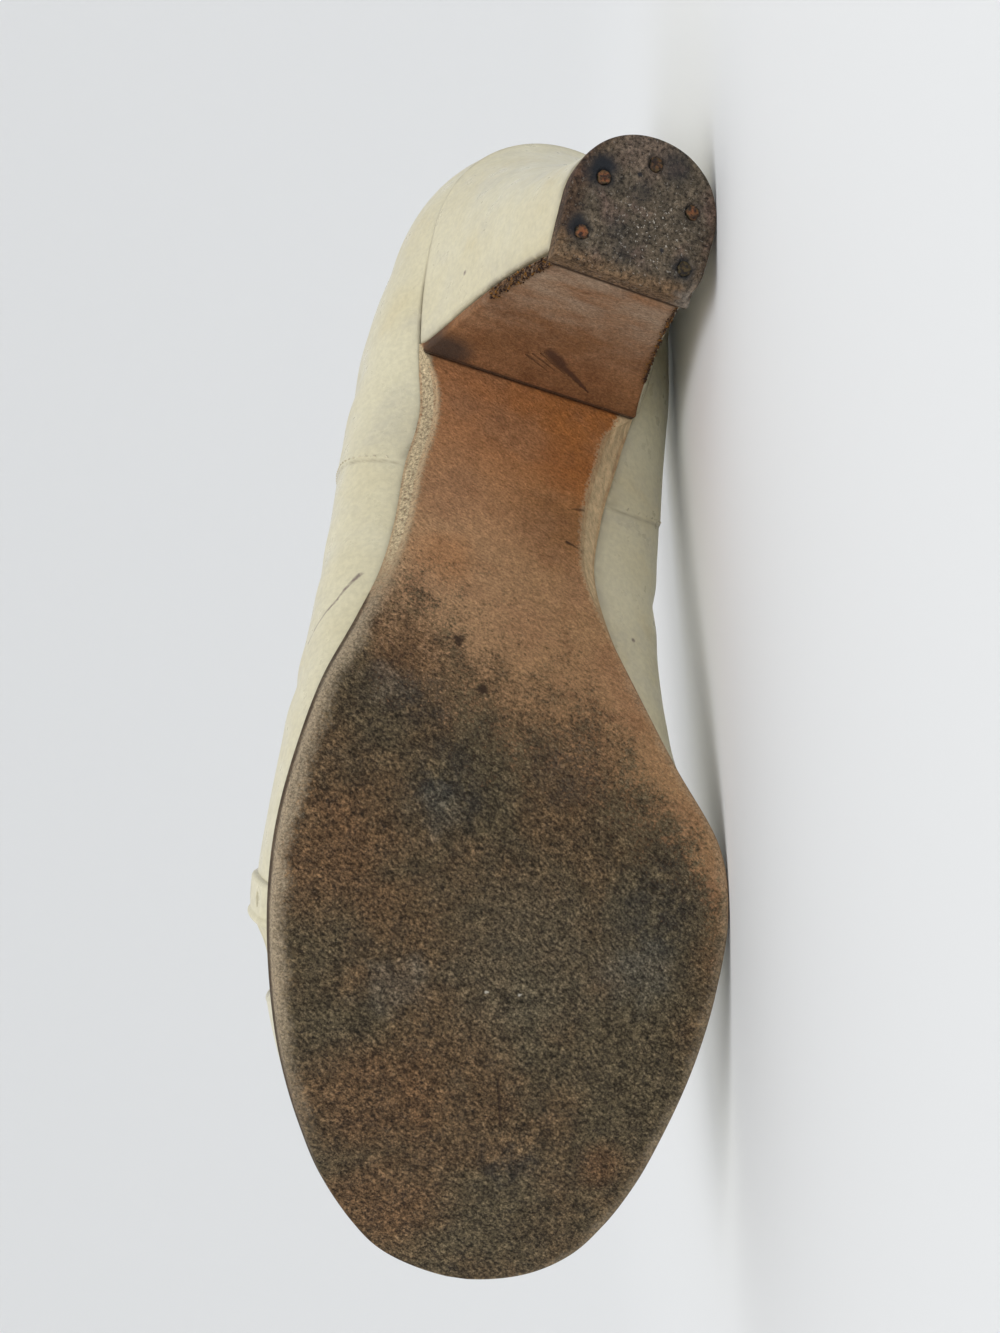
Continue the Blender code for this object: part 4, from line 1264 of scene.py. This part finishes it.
def band_outline():
    """The band's section, once round: how far ahead of its rear edge, and how far out of the vamp.

    The number that comes last says which point is the middle of its rear and top.
    """
    rear = [(-0.2, -BAND_SINK), (-0.1, 0.45), (0.15, 0.85), (0.5, BAND_RAISE)]
    top = [(t, BAND_RAISE) for t in np.linspace(0.7, BAND_WIDTH - 2 * BAND_LIP_RADIUS, 30)]
    lip_y = BAND_WIDTH - BAND_LIP_RADIUS
    lip_z = BAND_RAISE - BAND_LIP_DROP
    lip = [(lip_y + BAND_LIP_RADIUS * math.sin(a), lip_z + BAND_LIP_RADIUS * math.cos(a))
           for a in np.linspace(-0.9, 2.4, 12)]
    under = [(t, -BAND_SINK) for t in np.linspace(BAND_WIDTH - 0.6, 0.3, 6)]
    along, raised = np.array(rear + top + lip + under).T
    return along, raised, len(rear + top) // 2


def band_line(q, side, along):
    """Places on the vamp under the band's section at one row, and the direction out of the leather."""
    rows = np.array([q - 0.02, q, q + 0.02])
    stations = (BAND_START_Y + BAND_WIDTH * t for t in (0.0, 0.5, 1.0))
    under, middle, over = [closed_column(y, side, rows) for y in stations]
    near, halfway, far = under[1], middle[1], over[1]
    up = middle[2] - middle[0]
    if q > ALL_ROWS - 0.05:
        up = np.array((-float(side), 0.0, 0.0))
    out = np.cross(far - near, up) * side
    out /= np.linalg.norm(out)
    out *= np.sign(out[0] * side + out[2])
    share = np.clip(along / BAND_WIDTH, 0.0, 1.0)
    base = near + (far - near) * (along / BAND_WIDTH)[:, None]
    base += 4 * (share * (1 - share))[:, None] * (halfway - (near + far) / 2)
    return base, out


def make_band():
    """The trim band over the vamp, raised, with a rolled front edge and a row of oval holes."""
    along, raised, middle = band_outline()
    rows = np.linspace(0.12, ALL_ROWS, BAND_LINES)
    lines = [(q, *band_line(q, LATERAL, along)) for q in rows]
    lines += [(q, *band_line(q, MEDIAL, along)) for q in rows[::-1][1:]]
    run = run_along(np.array([base[middle] for _, base, _ in lines]))
    rings = []
    dirt = []
    for (q, base, out), at in zip(lines, run):
        off = (at + HOLE_PITCH / 2) % HOLE_PITCH - HOLE_PITCH / 2
        oval = np.hypot((along - BAND_WIDTH * HOLE_PLACE) / (HOLE_LENGTH / 2), off / (HOLE_WIDTH / 2))
        pit = smoothstep((HOLE_RIM - oval) / HOLE_SLOPE) * (raised > BAND_RAISE - 0.01)
        height = raised * min(1.0, q / BAND_FADE_ROWS) - pit * BAND_RAISE * HOLE_DEPTH
        rings.append(base + out * height[:, None])
        # Painted shade with some dirt in the holes and along the band's rear edge
        dirt.append(np.maximum(pit, BAND_EDGE_DIRT_AND_SHADE * (along < BAND_EDGE_DIRT_AND_SHADE_WIDTH)))
    ringed("trim_band", rings, CREAM, "cream_leather", dirt=dirt)


def make_stitches(tree):
    """Thread along both side seams, one small bead for each stitch."""
    points = []
    faces = []
    along = np.linspace(-0.5, 0.5, STITCH_POINTS)
    swell = STITCH_RADIUS * np.sin(np.linspace(0.25, math.pi - 0.25, STITCH_POINTS))
    for side in SIDES:
        z = base_z(SEAMS[side][0]) + STITCH_START
        while True:
            y = seam_y(side, z) - STITCH_SETBACK
            if z > COLLAR.at("z", y) - STITCH_STOP:
                break
            outside = Vector((side * OUTSIDE_X, y, z))
            place, normal, _, _ = tree.ray_cast(outside, Vector((-side, 0.0, 0.0)))
            ahead = Vector((0.0, SEAMS[side][2], 1.0))
            ahead = (ahead - normal * ahead.dot(normal)).normalized()
            path = [tuple(place + normal * STITCH_LIFT + ahead * STITCH_LENGTH * t) for t in along]
            bead, skin = tube(path, swell, STITCH_SIDES)
            faces += [tuple(i + len(points) for i in f) for f in skin]
            points += [tuple(p) for p in bead]
            z += STITCH_PITCH
    skinned("side_seam_stitches", points, faces, thread(), "cream_leather")


# Bottom and heel

def insole_edges(turn, y, inset):
    """Station and both edges of the insole: round the heel by a turn (0 at the back), then at each y."""
    if y is not None:
        return y, edge_x(y, LATERAL, inset), edge_x(y, MEDIAL, inset)
    share = math.cos(turn)
    across = (1 - share ** COUNTER_SQUARENESS) ** (1 / COUNTER_SQUARENESS)
    half = (bottom_half(HEEL_CENTRE_Y) - inset) * across
    return HEEL_CENTRE_Y - (HEEL_CENTRE_Y - inset) * share, -half, half


def make_insole():
    """The insole with its sock, whose upper edge spreads until it meets the lining."""
    toe_run = LENGTH - INSOLE_TOE_SETBACK - BALL_Y
    toe = BALL_Y + toe_run * np.sin(np.linspace(0.02, math.pi / 2, 46))
    waist = np.linspace(HEEL_CENTRE_Y + 1.5, BALL_Y, 80)
    stations = [(turn, None) for turn in np.linspace(0.09, math.pi / 2, 26)]
    stations += [(None, y) for y in np.concatenate((waist, toe))]
    rings = []
    for turn, station in stations:
        beside = HEEL_CENTRE_Y if station is None else station
        tuck = BOTTOM.at("tuck", beside)
        lean = math.radians(LAST.at("lean", beside))
        lip = tuck + WALL * math.sin(lean) + SOCK_CLEARANCE
        layers = (
            (tuck + WALL + GAP, 0.0),
            (lip, WALL * math.cos(lean)),
            (lip - SOCK_LAP, INSOLE_THICKNESS),
        )
        rows = []
        for inset, height in layers:
            y, left, right = insole_edges(turn, station, inset)
            x = (left + right) / 2 + (right - left) / 2 * INSOLE_ACROSS
            z = base_z(y) + GAP + height
            rows.append(np.column_stack((x, np.full_like(x, y), np.full_like(x, z))))
        under, beside_lining, over = rows
        rings.append(np.concatenate((under, beside_lining[-1:], over[::-1], beside_lining[:1])))
    ringed("insole_sock", rings, insole_leather(), "insole_leather", ["insole"])


def breast_line(s):
    """The front of the heel breast, from the fold (0) to the lift (1)."""
    y = BREAST_Y + (LIFT_FRONT_Y - BREAST_Y) * s - BREAST_BOW * math.sin(math.pi * s)
    return y, BREAST_Z + (LIFT_THICKNESS + GAP - BREAST_Z) * s


def breast_normal(s):
    """Unit direction from the breast into the heel."""
    step = 0.01
    y0, z0 = breast_line(s - step)
    y1, z1 = breast_line(s + step)
    run = math.hypot(y1 - y0, z1 - z0)
    return (z1 - z0) / run, -(y1 - y0) / run


def heel_half(s, front):
    """Half width of the heel between the seat (0) and the lift (1), at its breast or at its widest."""
    seat = HEEL_FRONT_HALF if front else bottom_half(HEEL_CENTRE_Y)
    foot = LIFT_HALF_WIDTH * (FRONT_NARROWING if front else 1.0)
    return seat + (foot - seat) * s ** HEEL_TAPER


def flap_edges(s):
    centre = BOTTOM.at("centre", BREAST_Y) * (1 - s) + LIFT_CENTRE_X * s
    half = heel_half(s, True) - FLAP_MARGIN
    return centre - half, centre + half


def sole_ring(low, high, lower, upper, bulge):
    """Bottom from the lateral to the medial side, up one edge, back over the top and down the other.

    Low and high are the edges' places across, lower and upper their stations and heights. Returned are
    the points and how far each point of the bottom is from either edge.
    """
    left_low, right_low = low
    left, right = high
    x = (left_low + right_low) / 2 + (right_low - left_low) / 2 * SOLE_ACROSS
    from_edges = x - left_low, right_low - x
    lip = np.clip(1 - np.minimum(*from_edges) / SOLE_ROUNDING, 0.0, 1.0)
    rounded = SOLE_ROUNDING * (1 - np.sqrt(np.maximum(1 - lip ** 2, 0.0)))
    thickness = np.linalg.norm(upper - lower)
    bottom = lower + (upper - lower) * (rounded / thickness)[:, None]
    start = lower + (upper - lower) * min(SOLE_ROUNDING / thickness, 0.5)
    edge = start + (upper - start) * SOLE_CLIMB[:, None]
    swell = bulge * np.sin(math.pi * SOLE_CLIMB)
    right_x = right_low + (right - right_low) * SOLE_CLIMB + swell
    left_x = left_low + (left - left_low) * SOLE_CLIMB[::-1] - swell
    top_x = (left + right) / 2 + (right - left) / 2 * SOLE_BACK
    points = np.concatenate((
        np.column_stack((x, bottom)),
        np.column_stack((right_x, edge)),
        np.column_stack((top_x, np.tile(upper, (len(SOLE_BACK), 1)))),
        np.column_stack((left_x, edge[::-1])),
    ))
    return points, from_edges


def sole_paint(from_edges, bevel=(0.0, 0.0), wall=0.0, tip=0.0, flap=0.0, fold=0.0, glue=(0.0, 0.0)):
    """Masks of one ring of the outsole: on its bottom, its medial edge, its top and its lateral edge."""
    glued = [np.clip(1 - away / GLUE_SPREAD, 0, 1) * amount for away, amount in zip(from_edges, glue)]
    parts = {
        "edge": (np.minimum(*from_edges), 0.0, 0.0, 0.0),
        "bevel": (0.0, bevel[1], 0.0, bevel[0]),
        "wall": (tip, wall * SOLE_CLIMB, wall, wall * SOLE_CLIMB[::-1]),
        "flap": (flap, flap, flap, flap),
        "fold": (fold, 0.0, 0.0, 0.0),
        "glue": (sum(glued), glue[1], 0.0, glue[0]),
    }
    sizes = [len(row) for row in (SOLE_ACROSS, SOLE_CLIMB, SOLE_BACK, SOLE_CLIMB)]
    return {name: np.concatenate([np.broadcast_to(v, n) for v, n in zip(values, sizes)])
            for name, values in parts.items()}


def flap_rings():
    """Points and paint of the flap, from the lift up to the fold."""
    height = BREAST_Z - LIFT_THICKNESS
    for s in np.concatenate((np.linspace(1.0, 0.03, 60), (0.018, 0.011, 0.007, 0.003))):
        place = np.array(breast_line(s))
        inward = np.array(breast_normal(s))
        dent = FOLD_DEPTH * math.exp(-(s * height / FOLD_WIDTH) ** 2)
        edges = flap_edges(s)
        points, away = sole_ring(edges, edges, place + inward * dent, place + inward * FLAP_THICKNESS, 0.0)
        lateral_glue = smoothstep((s - 0.45) / 0.12)
        medial_glue = smoothstep((s - 0.22) / 0.1) * smoothstep((1.05 - s) / 0.1)
        fold = math.exp(-(min(s, 1 - s) * height / FOLD_DARK_WIDTH) ** 2)
        yield points, sole_paint(away, flap=1.0, fold=fold, glue=(lateral_glue, medial_glue))


def tread_rings():
    """Points and paint of the tread, from the fold to the toe."""
    near_fold = BREAST_Y + np.array((0.0, 0.12, 0.25, 0.4, 0.7))
    waist = np.linspace(BREAST_Y + 1.2, BALL_Y, 118)
    toe = BALL_Y + (LENGTH - SOLE_TIP - BALL_Y) * np.sin(np.linspace(0, math.pi / 2, 110))[1:]
    for y in np.concatenate((near_fold, waist, toe)):
        left, right = edge_x(y, LATERAL), edge_x(y, MEDIAL)
        most = BEVEL_LIMIT * (right - left)
        bevel_left = min(BOTTOM.at("bevel_lateral", y), most)
        bevel_right = min(BOTTOM.at("bevel_medial", y), most)
        top_y = y - FLAP_THICKNESS * max(0.0, 1 - (y - BREAST_Y) / FOLD_RUN)
        dent = FOLD_DEPTH * math.exp(-((y - BREAST_Y) / FOLD_WIDTH) ** 2)
        lower = np.array((y, sole_z(y) + dent))
        upper = np.array((top_y, base_z(top_y)))
        low = left + bevel_left, right - bevel_right
        points, away = sole_ring(low, (left, right), lower, upper, SOLE_EDGE_BULGE)
        pale = smoothstep((bevel_left - 1.0) / 1.2), smoothstep((bevel_right - 1.0) / 1.6)
        wall = smoothstep((y - BURNISH_START_Y) / BURNISH_RUN)
        fold = math.exp(-((y - BREAST_Y) / FOLD_DARK_WIDTH) ** 2)
        yield points, sole_paint(away, bevel=pale, wall=wall, tip=float(y == toe[-1]), fold=fold)


def make_outsole():
    """One leather piece: the tread from the toe to the fold, and the flap down the heel breast."""
    rings, paints = zip(*flap_rings(), *tread_rings())
    masks = {name: [paint[name] for paint in paints] for name in paints[0]}
    ringed("worn_outsole", rings, sole_leather(), "sole_leather", ["outsole"], **masks)


def make_glue():
    """Crumbs of old glue along both edges of the flap, where the heel cover has pulled away."""
    random = np.random.RandomState(SEED)
    bm = bmesh.new()
    for edge, low, high in GLUE_RUNS:
        for _ in range(GLUE_CRUMBS):
            s = low + (high - low) * random.rand()
            y, z = breast_line(s)
            ny, nz = breast_normal(s)
            if random.rand() < GLUE_ON_EDGE:
                outside = random.uniform(-0.1, 0.12)
                depth = random.uniform(0.0, FLAP_THICKNESS)
            else:
                outside = -abs(random.normal(0.0, 0.5))
                depth = 0.0
            x = flap_edges(s)[edge] + (outside if edge else -outside)
            place = Vector((x, y + ny * depth, z + nz * depth))
            size = 0.05 + 0.22 * random.rand() ** 3
            stretch = Matrix.Diagonal((*random.uniform(0.5, 1.7, 3), 1.0))
            turn = Matrix.Rotation(random.uniform(0, math.pi), 4, Vector(random.normal(size=3)))
            made = bmesh.ops.create_icosphere(bm, subdivisions=1, radius=size)
            for v in made["verts"]:
                v.co *= random.uniform(0.7, 1.25)
                v.co = Matrix.Translation(place) @ turn @ stretch @ v.co
    mesh = bpy.data.meshes.new("breast_glue_crumbs")
    bm.to_mesh(mesh)
    bm.free()
    dress("breast_glue_crumbs", finished(mesh, [dried_glue()], {}))


def heel_ring(centre, front_y, back_y, half, front_half):
    """A D-shaped ring: a straight front and a round back."""
    middle_y = front_y - (front_y - back_y) * HEEL_FLAT_SHARE
    a = np.linspace(0, math.pi, 97)
    x = -half * np.copysign(np.abs(np.cos(a)) ** HEEL_ROUNDNESS, np.cos(a))
    y = middle_y - (middle_y - back_y) * np.abs(np.sin(a)) ** HEEL_ROUNDNESS
    t = np.linspace(0, 1, 13)[1:]
    side_x = half + (front_half - half) * t * t
    side_y = middle_y + (front_y - middle_y) * t
    front = np.linspace(front_half, -front_half, 31)[1:-1]
    ring_x = np.concatenate((x, side_x, front, -side_x[::-1]))
    ring_y = np.concatenate((y, side_y, np.full_like(front, front_y), side_y[::-1]))
    return centre + ring_x, ring_y


def make_heel():
    """The covered heel block."""
    foot_z = LIFT_THICKNESS + GAP
    rings = []
    dirt = []
    for s in np.linspace(0, 1, HEEL_RINGS):
        y, _ = breast_line(s)
        inward, _ = breast_normal(s)
        front_y = y + inward * (FLAP_THICKNESS + GAP)
        back_y = LIFT_BACK_Y * math.sin(math.pi / 2 * s) ** BACK_CURVE
        halves = heel_half(s, False), heel_half(s, True)
        x, ring_y = heel_ring(LIFT_CENTRE_X * s, front_y, back_y, *halves)
        reach = HEEL_REACH * max(0.0, 1 - s / HEEL_REACH_SHARE)
        z = base_z(ring_y) + (foot_z - base_z(ring_y)) * s + reach
        rings.append(np.column_stack((x, ring_y, z)))
        # Grime and painted shade where the heel meets the upper and the lift; a glue stain along the breast
        seat = np.clip(1 - s / HEEL_SEAT_SHARE, 0, 1) * HEEL_SEAT_DIRT_AND_SHADE
        foot = np.clip(1 - (1 - s) / HEEL_FOOT_SHARE, 0, 1) * HEEL_FOOT_DIRT_AND_SHADE
        glued = 0.35 + 0.5 * smoothstep((s - 0.35) / 0.2)
        breast = np.clip(1 - (front_y - ring_y) / HEEL_BREAST_DIRT_WIDTH, 0, 1) * glued
        dirt.append(np.maximum(np.maximum(seat, foot), breast))
    cover = ringed("heel_cover", rings, HEEL_CREAM, "heel_cover", ["heel"], dirt=dirt)
    soften = cover.modifiers.new("soft_corners", "BEVEL")
    soften.width = HEEL_CORNER * MM
    soften.segments = 3
    soften.limit_method = "ANGLE"
    soften.angle_limit = HEEL_CORNER_ANGLE


def relief(flat, scale, z):
    """A noise, always the same one, at places on the lift or on a nail."""
    return np.array([noise.noise(Vector((p[0] * scale, p[1] * scale, z))) for p in flat])


def make_lift():
    """The worn lift: a rough tread with sunken nails and a chipped front corner."""
    halves = LIFT_HALF_WIDTH, LIFT_HALF_WIDTH * FRONT_NARROWING
    outline = np.column_stack(heel_ring(LIFT_CENTRE_X, LIFT_FRONT_Y, LIFT_BACK_Y, *halves))
    middle = np.array((LIFT_CENTRE_X, (LIFT_FRONT_Y + LIFT_BACK_Y) / 2 + 1.0))
    corner = np.array((LIFT_HALF_WIDTH, LIFT_FRONT_Y))
    rings = []
    edges = []
    chips = []
    for z, share in (*LIFT_SIDE, *((0.0, share) for share in np.linspace(0.965, 0.02, LIFT_RINGS))):
        flat = middle + (outline - middle) * share
        height = np.full(len(flat), z)
        rough = relief(flat, 0.55, z)
        reach = np.linalg.norm(flat - corner, axis=1) + rough * CHIP_RAGGEDNESS
        chip = smoothstep((CHIP_REACH - reach) / CHIP_REACH)
        if share < 1.0:
            height += LIFT_ROUGHNESS * rough + LIFT_GOUGES * np.maximum(relief(flat, 0.2, 9.0), 0.0)
            for nail_x, nail_y in NAIL_PLACES:
                off = np.hypot(flat[:, 0] - nail_x, flat[:, 1] - nail_y)
                inside = NAIL_RADIUS + NAIL_PIT_MARGIN - off
                height += NAIL_PIT_DEPTH * smoothstep(inside / NAIL_PIT_SLOPE)
        if z < CHIP_HEIGHT:
            height += CHIP_DEPTH * chip
            if share > 0.9:
                flat = flat - chip[:, None] * np.array(CHIP_SHIFT)
        rings.append(np.column_stack((flat, height)))
        edges.append(np.full(len(flat), (1 - min(share, 1.0)) * LIFT_HALF_WIDTH))
        chips.append(chip)
    ringed("worn_lift", rings, lift_leather(), "lift_rubber", ["top_lift"], edge=edges, chip=chips)


def make_nails():
    """Five nails with flat, pitted heads, each with its own rust."""
    finish = rusty_steel()
    angle = np.linspace(0, 2 * math.pi, NAIL_SIDES, endpoint=False)
    circle = np.column_stack((np.cos(angle), np.sin(angle)))
    for number, place in enumerate(NAIL_PLACES, 1):
        rings = []
        rust = []
        for radius, z in NAIL_PROFILE:
            dent = relief(circle * radius + (number * 5 / NAIL_DENT_SCALE, 0.0), NAIL_DENT_SCALE, z)
            flat = place + radius * (1 + NAIL_DENT_WIDTH * dent)[:, None] * circle
            rings.append(np.column_stack((flat, z + NAIL_DENT_DEPTH * dent)))
            rust.append(NAIL_RUST[number - 1] * (1 - 0.9 * (radius / NAIL_RADIUS) ** 2 + 0.7 * dent))
        node = "top_lift_nail_%d" % number
        ringed("lift_nail_%d" % number, rings, finish, "nail_steel", [node], rust=rust)


# Floor, light and camera

def make_floor():
    """A pale floor that curves up into a wall all round."""
    around = np.linspace(0, 2 * math.pi, FLOOR_TURNS, endpoint=False)
    circle = np.column_stack((np.cos(around), np.sin(around)))
    rings = []
    for tilt in np.radians(np.linspace(0.0, FLOOR_TILT, FLOOR_RINGS)):
        flat = (FLOOR_FLAT + FLOOR_BEND * math.sin(tilt)) * circle
        height = np.full(FLOOR_TURNS, FLOOR_BEND * (1 - math.cos(tilt)))
        rings.append(np.column_stack((flat, height)))
    mesh = bpy.data.meshes.new("pale_floor")
    mesh.from_pydata(np.concatenate(rings).tolist(), [], ring_faces(len(rings), FLOOR_TURNS)[:-1])
    mesh.shade_smooth()
    paper = bpy.data.materials.new("pale_paper")
    paper.use_nodes = True
    shader = paper.node_tree.nodes["Principled BSDF"]
    shader.inputs["Base Color"].default_value = FLOOR_COLOUR
    shader.inputs["Roughness"].default_value = FLOOR_ROUGHNESS
    mesh.materials.append(paper)
    floor = show(bpy.data.objects.new("pale_floor", mesh))


def make_light():
    """One large softbox and an even, pale sky."""
    lamp = bpy.data.lights.new("softbox", "AREA")
    lamp.size = SOFTBOX_SIZE
    lamp.energy = SOFTBOX_POWER
    light = show(bpy.data.objects.new("softbox", lamp))
    light.location = SOFTBOX_PLACE
    aim = Vector(SOFTBOX_TARGET) - Vector(SOFTBOX_PLACE)
    light.rotation_euler = aim.to_track_quat("-Z", "Y").to_euler()
    world = bpy.data.worlds.new("studio")
    bpy.context.scene.world = world
    world.use_nodes = True
    sky = world.node_tree.nodes["Background"]
    sky.inputs["Color"].default_value = SKY_COLOUR
    sky.inputs["Strength"].default_value = SKY_STRENGTH
    bpy.context.scene.view_settings.view_transform = "Standard"


def make_camera():
    """The photograph's place beside the shoe, turned to the shoe's middle, with the photograph's roll."""
    place = Vector(CAMERA_PLACE) * MM
    right = Vector(CAMERA_RIGHT)
    ahead = (Vector(CAMERA_TARGET) * MM - place).normalized()
    right = (right - ahead * right.dot(ahead)).normalized()
    turned = Matrix((right, right.cross(ahead), -ahead)).transposed().to_4x4()
    camera = show(bpy.data.objects.new("camera", bpy.data.cameras.new("camera")))
    camera.matrix_world = LYING @ Matrix.Translation(place) @ turned
    camera.data.sensor_width = CAMERA_SENSOR
    camera.data.lens = CAMERA_LENS
    camera.data.clip_start = 0.005
    bpy.context.scene.camera = camera


CREAM = cream_leather("aged_cream_leather", SCRATCHES, UPPER_SPECKS)
HEEL_CREAM = cream_leather("aged_heel_cover", (), HEEL_SPECKS)
LINING = lining_leather()
surface, collar_path, peep_path, window_paths = make_upper()
make_rolls(surface, collar_path, peep_path, window_paths)
make_band()
make_stitches(surface)
make_insole()
make_outsole()
make_glue()
make_heel()
make_lift()
make_nails()
make_floor()
make_light()
make_camera()
